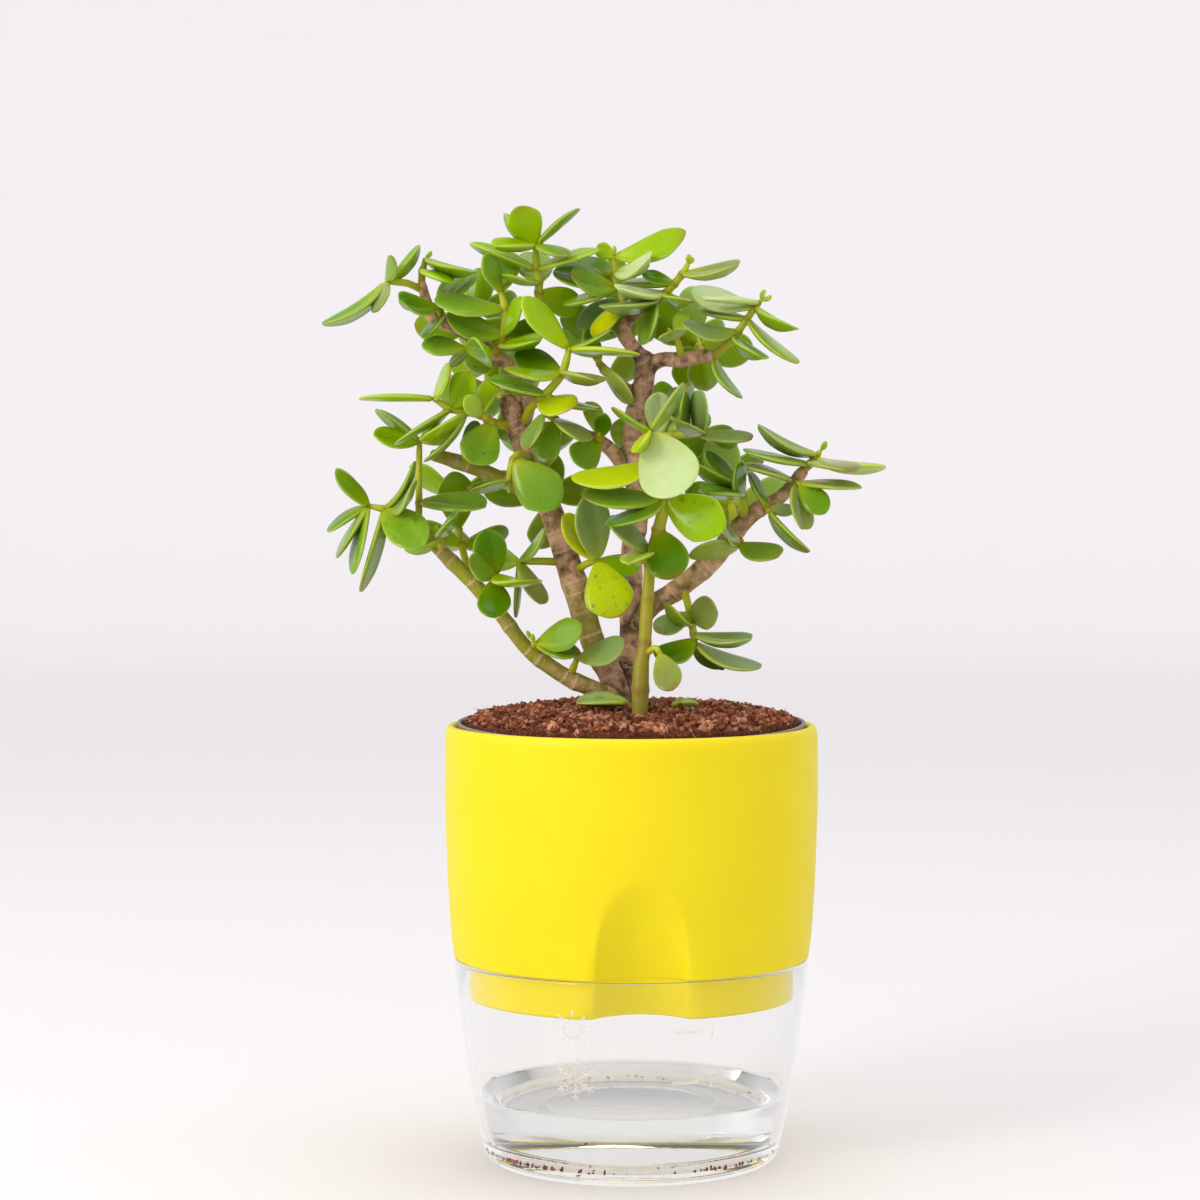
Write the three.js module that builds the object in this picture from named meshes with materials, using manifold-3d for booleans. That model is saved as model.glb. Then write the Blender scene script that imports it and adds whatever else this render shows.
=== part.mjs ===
// Potted jade plant in a two-part self-watering planter.
// Millimetres, +Z up. The origin is at the middle of the planter's base, and the front faces -Y.

import * as THREE from 'three';
import { mergeVertices } from 'three/addons/utils/BufferGeometryUtils.js';
import Module from 'manifold-3d';

const wasm = await Module();
wasm.setup();

// Driving dimensions of the planter
const GAP = 0.3; // between pieces that touch
const RESERVOIR_FOOT = 41; // radius of the flat base
const RESERVOIR_FLOOR = 3.4; // thickness of the cup's floor
const WATER_LEVEL = 20.7;
const POT_BOTTOM = 48.6; // underside of the yellow pot
const POT_RIM = 128.4;
const POT_WALL = 2.8;
const GROW_BOTTOM = POT_BOTTOM + POT_WALL + GAP;
const GROW_RIM = 129.6;
const GROW_WALL = 1.1;
const GROW_TILT = 0.016; // the nursery pot stands slightly higher at the back
const SOIL_EDGE = 129.4; // height of the soil at the wall
const SOIL_CROWN = 134.1; // height of the soil in the middle
const SCOOP_APEX = 87; // top of the pouring scoop
const SCOOP_SLOPE = 0.45; // how fast the scoop runs inwards on its way down
const SCOOP_RADIUS = 14.5; // of its round section
const SCOOP_TURN = 3.3; // degrees to the right of the front
const SCOOP_CROWDING = 0.5; // how much closer the pot's facets lie at the scoop than behind

// The plant is laid out as it is seen from the front. A point is given across, up and in depth, where
// across and up are read in the plane through the pot's axis by an eye at this distance and height.
const EYE_DISTANCE = 900;
const EYE_HEIGHT = 197.7;

const LEAF_RATIO = 0.6; // width of a leaf against its length
const LEAF_THICKNESS = 2.3;
const LEAF_CLEARANCE = 0.45; // air between leaves of different shoots
const LEAF_ROOT = 0.9; // how far a leaf's foot is sunk past the middle of its twig
const STEM_STEPS = 2; // finer points between two of a stem's own
const UP = new THREE.Vector3(0, 0, 1);

const COLOURS = {
  clear: { color: 0xdfe3e0, roughness: 0.1, metalness: 0 },
  water: { color: 0xd3dcd8, roughness: 0.05, metalness: 0 },
  yellow: { color: 0xe9b93c, roughness: 0.55, metalness: 0 },
  grey: { color: 0x77727a, roughness: 0.6, metalness: 0 },
  soil: { color: 0x5a3a28, roughness: 1, metalness: 0 },
  wood: { color: 0x6d5a4e, roughness: 0.85, metalness: 0 },
  stem: { color: 0x8a9a4b, roughness: 0.6, metalness: 0 },
  leaf: { color: 0x7fa53f, roughness: 0.42, metalness: 0 },
};

// Woody stems, each a row of [across, up, depth, radius]
const WOOD = [
  [[-2, 112, -2, 3.6], [-5, 139.5, -2, 3.8], [-10.8, 151.5, -2, 3.6], [-14.6, 163, -1, 3.6],
    [-18.6, 176, 0, 3.6], [-22.7, 189, 1, 3.5], [-28, 202, 2, 3.3], [-33.5, 215.5, 3, 3.1],
    [-36.5, 224, 3, 2.7]],
  [[-1, 112, 2, 3.4], [-1.3, 139, 2, 3.4], [0, 155, 4, 3.3], [0, 177, 4, 3.3], [2, 195, 4, 3.3],
    [0.7, 215, 3, 3.3], [2.8, 224, 3, 3.3], [4, 233, 3, 3], [3.7, 237, 3, 2.4]],
  [[4, 233, 3, 2.4], [8.7, 236, 2, 2.1], [14.6, 236, 1, 2], [20.8, 237, 0, 1.8], [23.5, 237, -1, 1.6]],
  [[3.7, 236, 3, 2], [-2, 243.4, 4, 1.8], [0, 248.7, 4, 1.7], [5.5, 252.3, 4, 1.4]],
  [[0.7, 225.7, 3, 1.9], [-4, 229.5, 3, 1.7], [-8.4, 233.4, 1, 1.4]],
  [[2.3, 197.7, 4, 2.2], [-6, 209.5, 2, 1.9], [-15, 214.5, 0, 1.7], [-21, 217.3, -1, 1.5]],
  [[0, 157, 4, 3], [6.3, 163.8, 2, 3], [13.4, 168.2, -1, 3], [23.7, 176.8, -3, 2.8],
    [30, 185, -4, 2.6], [36.4, 191.2, -6, 2.3], [43.5, 195.3, -7, 2], [47, 198.9, -8, 1.8],
    [50.6, 203.3, -8, 1.5]],
  [[-3, 135, -4, 2.4], [-11.2, 139, -8, 2.3], [-18, 141.8, -9, 2.2], [-25.3, 146.5, -9, 2.1],
    [-31.6, 151.8, -9, 2.1], [-38.5, 160.8, -8, 2.1], [-46.2, 169.7, -6, 2], [-53.5, 177, -4, 1.9],
    [-59.4, 183, -2, 1.8], [-63, 187, -1, 1.6], [-70, 190.8, -1, 1.3]],
  [[-33.5, 214, 3, 2.2], [-30.5, 223, 5, 2.1], [-32.9, 231.6, 6, 2], [-40.6, 237.5, 6, 1.9],
    [-47.6, 243.4, 6, 1.8], [-55.6, 247, 6, 1.6], [-59, 249, 6, 1.5], [-61.8, 258.5, 6, 1.3]],
  [[-27, 195, 2, 2.2], [-40.6, 202, 2, 2], [-48, 204.8, 2, 1.9], [-54.4, 207, 2, 1.8],
    [-58.3, 208, 2, 1.6]],
];

// The green stem that comes up by itself in front
const FRONT_STEM = [
  [2.4, 112, -28, 2.5], [2.5, 130.4, -27, 2.5], [2.9, 145, -25, 2.4], [3.8, 151, -24, 2],
  [4.5, 161.4, -22, 1.8], [5.3, 172.9, -20.5, 1.9], [5.8, 176.6, -20, 1.9],
];

// Leafy shoots. twig: [across, up, depth, radius]. leaves: [across and up of the base, across and up of
// the tip, how much deeper the tip lies, width that shows from the front and a minus if its underside
// shows]. more: leaves that are added round the twig by rule.
const SHOOTS = [
  { name: 'spray_front', more: 3,
    twig: [[5.9, 178.6, -20.4, 2], [8, 186, -23, 2], [9.5, 195, -25, 1.9], [7, 206, -26, 1.6],
      [5.5, 215, -27, 1.3]],
    leaves: [[5.2, 217, 14, 196.2, -12, 18], [5.5, 208, -17.3, 200.4, -8, 7.7],
      [9.5, 195, -14.6, 196, -6, 7.4], [9.3, 193, -6.3, 187, -14, 6], [9.8, 196, 27.3, 185.9, -8, 14],
      [9, 186.5, 12.5, 171.5, -8, 12.4], [6, 179, -7.2, 188.9, -12, 6.5], [5.8, 178.5, -1, 176, -8, 4],
      [5.5, 216, 1.5, 209, -9, 3.5]] },
  { name: 'spray_round_leaf', more: 0,
    twig: [[-29, 206, 2, 1.2], [-32.5, 208.5, -5, 1.1], [-35, 206.5, -8, 1.1], [-36.5, 200, -8, 1]],
    leaves: [[-34.7, 206, -21.8, 192.6, -6, 14], [-36, 200, -47.3, 197.7, -10, 3]] },
  { name: 'spray_trunk_yellow', more: 1,
    twig: [[-16.5, 174, -1, 1.3], [-13, 176, -7, 1.2], [-10, 177, -10, 1.1]],
    leaves: [[-10.5, 176.5, -4.5, 160, -8, 14.5], [-10, 177, -20.2, 190.3, -4, 7.7],
      [-10.5, 178, -13.5, 196, -8, 11]] },
  { name: 'spray_yellow_stalk', more: 1,
    twig: [[-32, 217, 3, 1.5], [-29.6, 221.9, -3, 1.4], [-25.5, 225.7, -6, 1.4],
      [-20.5, 231.9, -8, 1.3], [-18.4, 239, -9, 1.2]],
    leaves: [[-18.7, 239.3, -32, 254.3, -3, 7.7], [-17.6, 239, 2.5, 237.5, -4, 2.6],
      [-20, 230.4, -9.3, 229.6, -14, 3], [-28.5, 223, -17, 222, -14, 8],
      [-25, 226, -9.3, 221.3, -8, 3], [-20.5, 232, -34, 238.5, 8, 8], [-21.1, 233, -37, 233, -12, 4],
      [-26, 225.5, -42, 230, -4, 5]] },
  { name: 'spray_left_reach', more: 0,
    twig: [[-34.5, 216.5, 3, 1.5], [-40.9, 217.5, -3, 1.4], [-44.4, 219.8, -5, 1.3],
      [-53, 221.6, -6, 1.2], [-58, 224.5, -6, 1.1]],
    leaves: [[-58, 224.5, -80.4, 224.5, -2, 3], [-58, 225, -53.3, 233.4, -12, 4],
      [-53, 222, -47.3, 232.5, -8, 8.3], [-42, 218.5, -49.4, 228.1, 8, 5.3],
      [-44.4, 220, -40, 231, 6, 6], [-44.5, 220, -50, 225.5, -14, 6],
      [-54.5, 221.5, -69.8, 211, -3, 2.4], [-49, 220.3, -62.1, 212.7, -10, 2.4],
      [-47, 219.5, -61.2, 206, 2, 3], [-40.9, 217, -47, 205.5, -12, 12]] },
  { name: 'spray_left_crown_middle', more: 2,
    twig: [[-40.6, 237.5, 4, 1.4], [-37.8, 243, 1, 1.4], [-37.3, 250.8, 0, 1.3], [-38.5, 256, 0, 1.1]],
    leaves: [[-38.5, 255.8, -43.2, 267, -6, 6], [-37.9, 250.5, -58, 253.4, -6, 6.5],
      [-37.6, 250, -44.1, 250, 14, 3], [-37.6, 242.8, -56.8, 249.9, -8, 8.3],
      [-37.3, 243.5, -32, 254, -6, 5.3], [-40, 240, -25, 242.3, -10, 4], [-37.5, 243, -26, 245, 12, 8]] },
  { name: 'spray_top', more: 3,
    twig: [[-32.9, 232, 6, 1.6], [-29, 242, 8, 1.5], [-27.5, 252, 6, 1.4], [-27.3, 258.8, 4, 1.3],
      [-27.9, 262.3, 4, 1.3], [-28.2, 269.4, 4, 1.2]],
    leaves: [[-28.5, 269.7, -33.5, 281, -8, 10.6], [-29, 269.4, -40.3, 269.4, -12, 4],
      [-27.6, 269.4, -19.6, 266.1, -12, 4], [-28, 263.5, -47.6, 270.3, -3, 4],
      [-27, 263, -9.3, 268.2, -3, 4.4], [-28.2, 259.4, -37.3, 261, -10, 2.5],
      [-27.4, 256, -15, 251, 6, 9]] },
  { name: 'spray_far_left', more: 0,
    twig: [[-61.6, 256.5, 6, 1.2], [-66, 258.5, 4, 1.2], [-72, 259, 2, 1.1]],
    leaves: [[-74, 257.6, -91, 246.4, -6, 4.1], [-72.7, 259.7, -62.4, 269.7, 4, 3],
      [-71.5, 260, -70, 266, -8, 4], [-72.4, 256, -75, 250.2, -10, 4]] },
  { name: 'spray_left_crown', more: 0,
    twig: [[-61.8, 259, 6.1, 1.2], [-61.5, 262, 6.5, 1.2], [-60.6, 265.5, 7, 1.1]],
    leaves: [[-61, 264.7, -74.2, 255, -10, 4.7], [-60.3, 266, -46.5, 261.7, -12, 3],
      [-60.3, 262.6, -54.4, 258.8, -14, 4]] },
  { name: 'spray_left_fork', more: 0,
    twig: [[-55.6, 247, 6, 1.2], [-56, 250, 1, 1.1], [-57, 251.5, -2, 1.1]],
    leaves: [[-57, 251, -68.3, 253.8, -12, 6.5], [-56, 251, -46, 263, 8, 7.7],
      [-56, 249, -60, 243, -12, 4]] },
  { name: 'spray_left_under', more: 1,
    twig: [[-47, 243, 6, 1.2], [-47.5, 240.5, 1, 1.1], [-48.5, 239, -2, 1.1]],
    leaves: [[-48.5, 239, -61.8, 240.5, -10, 5.9], [-48, 240, -54, 234, 4, 3]] },
  { name: 'spray_centre_crown', more: 0,
    twig: [[0, 249, 4, 1.3], [-4, 257, 6, 1.2], [-5.5, 266, 6, 1.1]],
    leaves: [[-4, 265.8, 16, 273.5, -4, 8.9], [-6.3, 266.7, -10.2, 269.4, -12, 5],
      [-4.6, 260, 5.2, 265.8, -12, 5], [-5, 263.2, -15.2, 265.8, 12, 7],
      [-3.5, 256.5, -17.6, 260.5, -10, 7.7], [-4, 255, -20, 252, 6, 4],
      [-1.5, 251, -10.5, 242.5, -8, 6], [-3, 253, -16, 247, 10, 8], [-5, 258, -23, 262, 8, 8]] },
  { name: 'spray_centre_right_crown', more: 0,
    twig: [[5.9, 252.5, 3.9, 1.3], [10, 255.5, 2, 1.3], [14.9, 261.1, 0, 1.2], [16.5, 264, 0, 1.1]],
    leaves: [[15.5, 259.7, 31.4, 264, -12, 4], [12, 259.7, 1.9, 261.7, -14, 4],
      [11, 258.5, -1.9, 259, 10, 4], [8.7, 256.4, -4, 257, -14, 4.1], [11, 255.2, 17, 253.2, -14, 3],
      [7, 253.5, -8.1, 251.4, -12, 3.5], [7, 253, 5, 241.5, -8, 6]] },
  { name: 'spray_right_crown', more: 0,
    twig: [[24, 237, -1.2, 1.5], [29, 241.4, -3, 1.3], [31.4, 244.3, -3, 1.2], [36.4, 251.4, -4, 1.1],
      [37.9, 253.2, -4, 1]],
    leaves: [[36.7, 252.9, 21.4, 253.8, -10, 3.2], [37, 251, 48.2, 245.2, -12, 2.7],
      [33, 246, 49.1, 234.9, -4, 3.8], [30.5, 242.5, 38.5, 236.6, -14, 3.5],
      [31.1, 244.9, 15.2, 246.4, -8, 5.3], [34, 248, 20.2, 251.4, 10, 3.5], [35, 250, 18, 257, 6, 7],
      [24.5, 237, 32.3, 224.8, -8, 4.4], [26, 238.5, 17.5, 242, -14, 6]] },
  { name: 'spray_right_crown_inner', more: 1,
    twig: [[14.6, 236, 1, 1.2], [14, 240, -3, 1.1], [13, 243, -5, 1.1]],
    leaves: [[13.2, 238.7, -6.6, 240.5, -5, 3.5], [13, 241, 2.5, 244.9, -14, 4],
      [13.4, 242.5, 16.7, 252.6, -8, 7.1]] },
  { name: 'spray_inner_fork', more: 2,
    twig: [[-7.6, 232.8, 1, 1.2], [-9.5, 235, -1, 1.1], [-10, 237, -2, 1]],
    leaves: [[-9, 233.5, 0.4, 224, -9, -5], [-9.5, 235, -12.5, 245, 4, 5]] },
  { name: 'spray_left_upright', more: 2,
    twig: [[-62.9, 187.2, -1, 1.2], [-62.7, 193.9, 2, 1.1], [-62.7, 203, 3, 1.1], [-62.5, 211.9, 3, 1]],
    leaves: [[-62.5, 211.5, -76, 214, -6, 6.5], [-62.3, 212, -53, 215, -6, 5.5],
      [-62.7, 193, -42.9, 193, -8, 6.5]] },
  { name: 'spray_left_drooping', more: 2,
    twig: [[-69.6, 190.6, -1, 1.2], [-73, 192, -2, 1.2], [-77.5, 193, -2, 1]],
    leaves: [[-77.1, 193, -86.9, 177.6, -4, 3.5], [-77.7, 192, -82.2, 172.9, -6, 4.1],
      [-74.2, 191, -80.1, 167.6, -1, 3], [-73, 192, -61.5, 181, -13, 12],
      [-73, 193, -61, 210.7, -8, 2.7], [-71.5, 192, -64.5, 199.5, -12, 4]] },
  { name: 'spray_side_stub', more: 1,
    twig: [[-48, 204.4, 2, 1.1], [-49, 207, -1, 1.1], [-49.5, 209, -2, 1]],
    leaves: [[-49.5, 208, -57, 213, -10, 5], [-49, 207, -42, 207.5, -14, 5]] },
  { name: 'spray_inner_left', more: 1,
    twig: [[-20.6, 217, -1, 1.3], [-24, 219.5, -4, 1.2], [-26, 220, -6, 1.1]],
    leaves: [[-23.5, 218, -26, 204.5, -8, 8], [-21.3, 218.9, -14, 211.9, -14, 5]] },
  { name: 'spray_inner_middle', more: 1,
    twig: [[-9, 211.2, 2, 1.1], [-9.5, 213, -3, 1.1], [-9.5, 215, -6, 1]],
    leaves: [[-10, 211.5, -16.5, 205.5, -12, 10], [-10, 214.5, -13, 225, -6, 6],
      [-8, 213, -7, 222.5, -8, 7]] },
  { name: 'spray_grey_green', more: 1,
    twig: [[2, 213, 3, 1.3], [8, 213.5, -2, 1.3], [16.7, 214.2, -5, 1.2], [21, 214.5, -6, 1.1]],
    leaves: [[9, 215.4, 8, 226.5, -6, 8.5], [13, 214, 13.5, 228, 6, 8],
      [16.7, 217, 16.4, 229, -10, 5.3], [19, 216, 21.5, 226, -8, 7], [21, 214, 12.8, 218.4, -14, 2.5],
      [19.6, 215, 35.5, 212.7, -8, 4.4], [20, 213, 34, 209, -14, 2.5]] },
  { name: 'spray_right_inner', more: 2,
    twig: [[33, 188, -5, 1.3], [33.5, 193, -8, 1.2], [32, 199, -9, 1.1]],
    leaves: [[33, 197, 21.7, 196.8, -14, 4], [33, 195, 30.8, 204.7, -13, 6],
      [32, 199, 22.3, 209.2, 6, 5]] },
  { name: 'spray_right_tip', more: 0,
    twig: [[50.9, 203.6, -8, 1.3], [53.8, 206.8, -8, 1.2], [55.5, 209, -8, 1.1]],
    leaves: [[54.5, 208, 37.3, 216.6, -6, 3.5], [54.7, 206.6, 75, 204.5, -3, 3],
      [53, 205.5, 67.1, 203, -12, 3.5], [52, 204.5, 33.2, 209.2, -10, 3.2]] },
  { name: 'spray_right_tip_low', more: 1,
    twig: [[47.8, 200, -8, 1.2], [49.5, 199.5, -13, 1.1]],
    leaves: [[49.5, 201, 67.7, 198.3, -8, 4.1], [48, 200.5, 32.3, 204.8, -10, 3.5],
      [48.5, 199, 50.6, 186.2, -10, 6.5]] },
  { name: 'spray_right_arm', more: 0,
    twig: [[40, 193.3, -7, 1.2], [40, 192.5, -11, 1.1], [40.5, 191.5, -13, 1]],
    leaves: [[40, 192.5, 34.7, 203.1, 10, 4], [40.5, 192, 49.1, 191.5, -14, 3.8],
      [40.3, 191, 52.4, 179.4, -6, 2]] },
  { name: 'spray_right_elbow', more: 0,
    twig: [[30, 185, -4, 1.3], [32, 182.5, -8, 1.2], [32, 181, -10, 1.1]],
    leaves: [[32, 182, 43.2, 177.9, -14, 7], [32.5, 183, 27.2, 187.8, -12, 4],
      [32, 181.5, 17.3, 179, -10, -5.3]] },
  { name: 'spray_right_hanging', more: 1,
    twig: [[15.5, 168.6, -2, 1.3], [17.3, 161.4, -8, 1.2], [18.4, 155, -10, 1.2],
      [18.7, 152.5, -10, 1.1]],
    leaves: [[19, 155.5, 35.5, 154, -8, 4.4], [19, 152.5, 38.2, 145.2, -6, 5],
      [18, 153.5, 8, 147.5, -12, 8.3], [18, 157, 10.2, 164.4, -10, 2.4],
      [17.3, 163, 25.5, 161.5, -12, 10], [17.5, 160, 7, 156, -6, 7]] },
  { name: 'spray_front_drop', more: 0,
    twig: [[3.6, 149, -24.3, 1.2], [7, 151, -26, 1.1], [8.3, 149.5, -27, 1.1]],
    leaves: [[8.1, 149.8, 12.2, 138.5, -8, 8.3]] },
  { name: 'spray_trunk_left', more: 1,
    twig: [[-21, 176.5, 0, 1.3], [-28, 176.7, -3, 1.2], [-33, 176.5, -4, 1.1]],
    leaves: [[-32.5, 177, -25.5, 186, -10, 4], [-32, 176, -26.7, 164, -10, 5.9],
      [-33, 176, -34, 160, 2, 2.5]] },
  { name: 'spray_low_left', more: 0,
    twig: [[-42.8, 166, -7, 1.3], [-41.5, 169.5, -10, 1.2], [-40, 172.5, -10, 1.1]],
    leaves: [[-40, 172.5, -43, 186, -6, 10], [-40.5, 172, -48, 176.5, -12, 7],
      [-39.5, 171.5, -29.6, 170.9, -14, 3.5], [-40.5, 171, -40.5, 160, -12, 10]] },
  { name: 'spray_low_stub', more: 0,
    twig: [[-27, 150.2, -9, 1.3], [-28.5, 152, -13, 1.2], [-29, 153, -14, 1.1]],
    leaves: [[-28, 152.5, -14.5, 157, -8, 9.4], [-28.5, 152, -15, 149, -4, 6]] },
  { name: 'spray_low_upright', more: 0,
    twig: [[-18, 143, -8, 1.3], [-17, 145.5, -11, 1.2], [-16, 148, -12, 1.1]],
    leaves: [[-16, 148, -2, 152, -8, 7.7]] },
  { name: 'spray_left_arm_buds', more: 0,
    twig: [[-56, 179.7, -3, 1.2], [-57, 183, -7, 1.1], [-57.5, 184.5, -8, 1]],
    leaves: [[-57, 183.5, -51.8, 190.4, -12, 2.5], [-57, 183, -67, 180.2, -12, 3]] },
  { name: 'spray_back_1', more: 7, leaves: [],
    twig: [[-47.6, 243.4, 6, 1.4], [-47, 245, 15, 1.3], [-47, 247, 27, 1.3], [-46, 251, 39, 1.1]] },
  { name: 'spray_back_2', more: 8, leaves: [],
    twig: [[-30.5, 223, 5, 1.5], [-37, 225, 17, 1.4], [-41, 228, 31, 1.3], [-43, 233, 45, 1.1]] },
  { name: 'spray_back_3', more: 8, leaves: [],
    twig: [[3.7, 233, 3, 1.5], [0, 240, 17, 1.4], [-5, 248, 31, 1.3], [-7, 256, 43, 1.1]] },
  { name: 'spray_back_4', more: 7, leaves: [],
    twig: [[20.8, 237, 0, 1.4], [20, 239, 13, 1.3], [19, 241.5, 25, 1.3], [18, 244, 36, 1.1]] },
  { name: 'spray_back_5', more: 8, leaves: [],
    twig: [[1.2, 205, 4, 1.5], [6, 208, 18, 1.4], [10, 211, 33, 1.3], [12, 216, 46, 1.1]] },
  { name: 'spray_back_6', more: 8, leaves: [],
    twig: [[-22.5, 189, 1, 1.5], [-24, 194, 16, 1.4], [-26, 200, 32, 1.3], [-27, 209, 46, 1.1]] },
  { name: 'spray_back_7', more: 6, leaves: [],
    twig: [[30, 185, -4, 1.4], [30, 190, 10, 1.3], [29, 196, 24, 1.3], [28, 203, 36, 1.1]] },
  { name: 'spray_back_8', more: 6, leaves: [],
    twig: [[-46.2, 169.7, -6, 1.3], [-49, 177, 6, 1.2], [-51, 186, 17, 1.2], [-52, 196, 27, 1.1]] },
];

// Leaves that have dropped onto the soil. at: across and depth of the middle, heading in degrees
const FALLEN = [
  { name: 'fallen_leaf_left', at: [-8.4, -24], heading: 176, length: 14.6, width: 9 },
  { name: 'fallen_leaf_right', at: [15.6, -14], heading: 8, length: 8, width: 5.4 },
];

// Solids

function bare(geometry) {
  const plain = geometry.clone();
  for (const name of Object.keys(plain.attributes)) {
    if (name !== 'position') plain.deleteAttribute(name);
  }
  return mergeVertices(plain, 1e-5);
}

function solid(geometry) {
  const merged = bare(geometry);
  const vertProperties = new Float32Array(merged.attributes.position.array);
  const corner = (i) => new THREE.Vector3().fromArray(vertProperties, 3 * i);
  let triangles = [];
  let volume = 0;
  for (let i = 0; i < merged.index.count; i += 3) {
    const [a, b, c] = [0, 1, 2].map((k) => merged.index.getX(i + k));
    if (a === b || b === c || c === a) continue;
    triangles.push([a, b, c]);
    volume += corner(a).dot(corner(b).cross(corner(c)));
  }
  if (volume < 0) triangles = triangles.map(([a, b, c]) => [a, c, b]);
  const mesh = new wasm.Mesh({ numProp: 3, vertProperties, triVerts: new Uint32Array(triangles.flat()) });
  return new wasm.Manifold(mesh);
}

function shape(manifold) {
  const { vertProperties, triVerts } = manifold.getMesh();
  const geometry = new THREE.BufferGeometry();
  geometry.setAttribute('position', new THREE.BufferAttribute(new Float32Array(vertProperties), 3));
  geometry.setIndex(new THREE.BufferAttribute(new Uint32Array(triVerts), 1));
  geometry.computeVertexNormals();
  return geometry;
}

function mainBody(manifold) {
  return manifold.decompose().reduce((best, piece) => (piece.volume() > best.volume() ? piece : best));
}

function warp(geometry, move) {
  const position = geometry.attributes.position;
  const point = new THREE.Vector3();
  for (let i = 0; i < position.count; i += 1) {
    point.fromBufferAttribute(position, i);
    move(point);
    position.setXYZ(i, point.x, point.y, point.z);
  }
  return geometry;
}

// A turned shape: profile of [radius, height], then each point may be moved
function turned(profile, segments, move = () => {}) {
  const points = profile.map(([radius, height]) => new THREE.Vector2(radius, height));
  const geometry = new THREE.LatheGeometry(points, segments).rotateX(Math.PI / 2);
  return solid(warp(geometry, move));
}

// Planter

function mix(rows, height) {
  for (let i = 1; i < rows.length; i += 1) {
    const [h0, r0] = rows[i - 1];
    const [h1, r1] = rows[i];
    if (height <= h1) return r0 + (r1 - r0) * (height - h0) / (h1 - h0);
  }
  return rows[rows.length - 1][1];
}

const POT_SIDE = [[48.6, 48.2], [59.4, 49.5]];
const POT_BODY = [[60.1, 52.5], [66.5, 53.3], [82.4, 54.3], [106, 55.1], [128.4, 54.7]];
const RESERVOIR_SIDE = [[0, 41], [1.8, 43.4], [7, 44.6], [17.5, 46.8], [29.3, 48.9], [45.2, 50.9],
  [59.8, 52.6]];
const RESERVOIR_WALL = 2.3;

// Radius of the scoop's face at this height, seen from the pot's axis at this angle from the front
function scoopRadius(angle, height) {
  const face = 54.5 - SCOOP_SLOPE * (SCOOP_APEX - height);
  const centre = face + SCOOP_RADIUS;
  const reach = SCOOP_RADIUS ** 2 - (centre * Math.sin(angle)) ** 2;
  if (reach <= 0 || Math.abs(angle) > Math.PI / 2) return Infinity;
  return centre * Math.cos(angle) - Math.sqrt(reach);
}

function reservoir() {
  const outside = RESERVOIR_SIDE.map(([height, radius]) => [radius, height]);
  const upper = outside.filter(([, height]) => height > 5);
  const inside = upper.map(([radius, height]) => [radius - RESERVOIR_WALL, height]);
  const floor = [[RESERVOIR_FOOT - 1, RESERVOIR_FLOOR], [0, RESERVOIR_FLOOR]];
  return turned([[0, 0], ...outside, ...inside.reverse(), ...floor], 32);
}

function water() {
  const inner = (height) => mix(RESERVOIR_SIDE, height) - RESERVOIR_WALL - GAP;
  const bottom = RESERVOIR_FLOOR + GAP;
  const rows = [[0, bottom], [RESERVOIR_FOOT - 1 - GAP, bottom], [inner(7), 7], [inner(17.5), 17.5],
    [inner(WATER_LEVEL), WATER_LEVEL], [0, WATER_LEVEL]];
  return turned(rows, 32);
}

function outerPot() {
  const inner = POT_BODY.map(([height, radius]) => [radius - POT_WALL, height]).reverse();
  inner[0] = [54.7 - POT_WALL, POT_RIM - 0.8];
  const profile = [[0, POT_BOTTOM], [POT_SIDE[0][1], POT_BOTTOM], [48.9, 54.5], [POT_SIDE[1][1], 60.1],
    [52.5, 60.1], [53.3, 66.5], [53.8, 74], [54.3, 82.4], [55.1, 106], [54.9, 126.8],
    [54.1, POT_RIM], [52.5, POT_RIM], ...inner.slice(0, 2), [51.5, 82.4], [51, 74], [50.5, 66.5],
    [47.2, 60.5], [45.8, 55.5], [45.4, POT_BOTTOM + POT_WALL], [0, POT_BOTTOM + POT_WALL]];
  const turn = THREE.MathUtils.degToRad(SCOOP_TURN);
  const insideRows = new Set();
  profile.forEach(([radius, height], row) => {
    if (row > 11) insideRows.add(`${radius.toFixed(3)} ${height.toFixed(3)}`);
  });
  const pot = turned(profile, 36, (point) => {
    const radius = Math.hypot(point.x, point.y);
    if (radius < 1) return;
    const inside = insideRows.has(`${radius.toFixed(3)} ${point.z.toFixed(3)}`);
    const even = Math.atan2(point.x, -point.y);
    const angle = even - SCOOP_CROWDING * Math.sin(even);
    const face = scoopRadius(angle, point.z) - (inside ? POT_WALL : 0);
    const held = Math.min(radius, face);
    point.x = held * Math.sin(angle + turn);
    point.y = -held * Math.cos(angle + turn);
  });
  return withDrains(pot, POT_BOTTOM, 20);
}

function withDrains(pot, height, ring) {
  let drained = pot;
  for (let i = 0; i < 5; i += 1) {
    const angle = (i + 0.5) * 2 * Math.PI / 5;
    const hole = new THREE.CylinderGeometry(3, 3, 12, 8).rotateX(Math.PI / 2);
    hole.translate(ring * Math.sin(angle), ring * Math.cos(angle), height);
    drained = drained.subtract(solid(hole));
  }
  return drained;
}

function growRadius(height) {
  return 33.5 + (51.5 - 33.5) * (height - GROW_BOTTOM) / (POT_RIM - GROW_BOTTOM);
}

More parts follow.
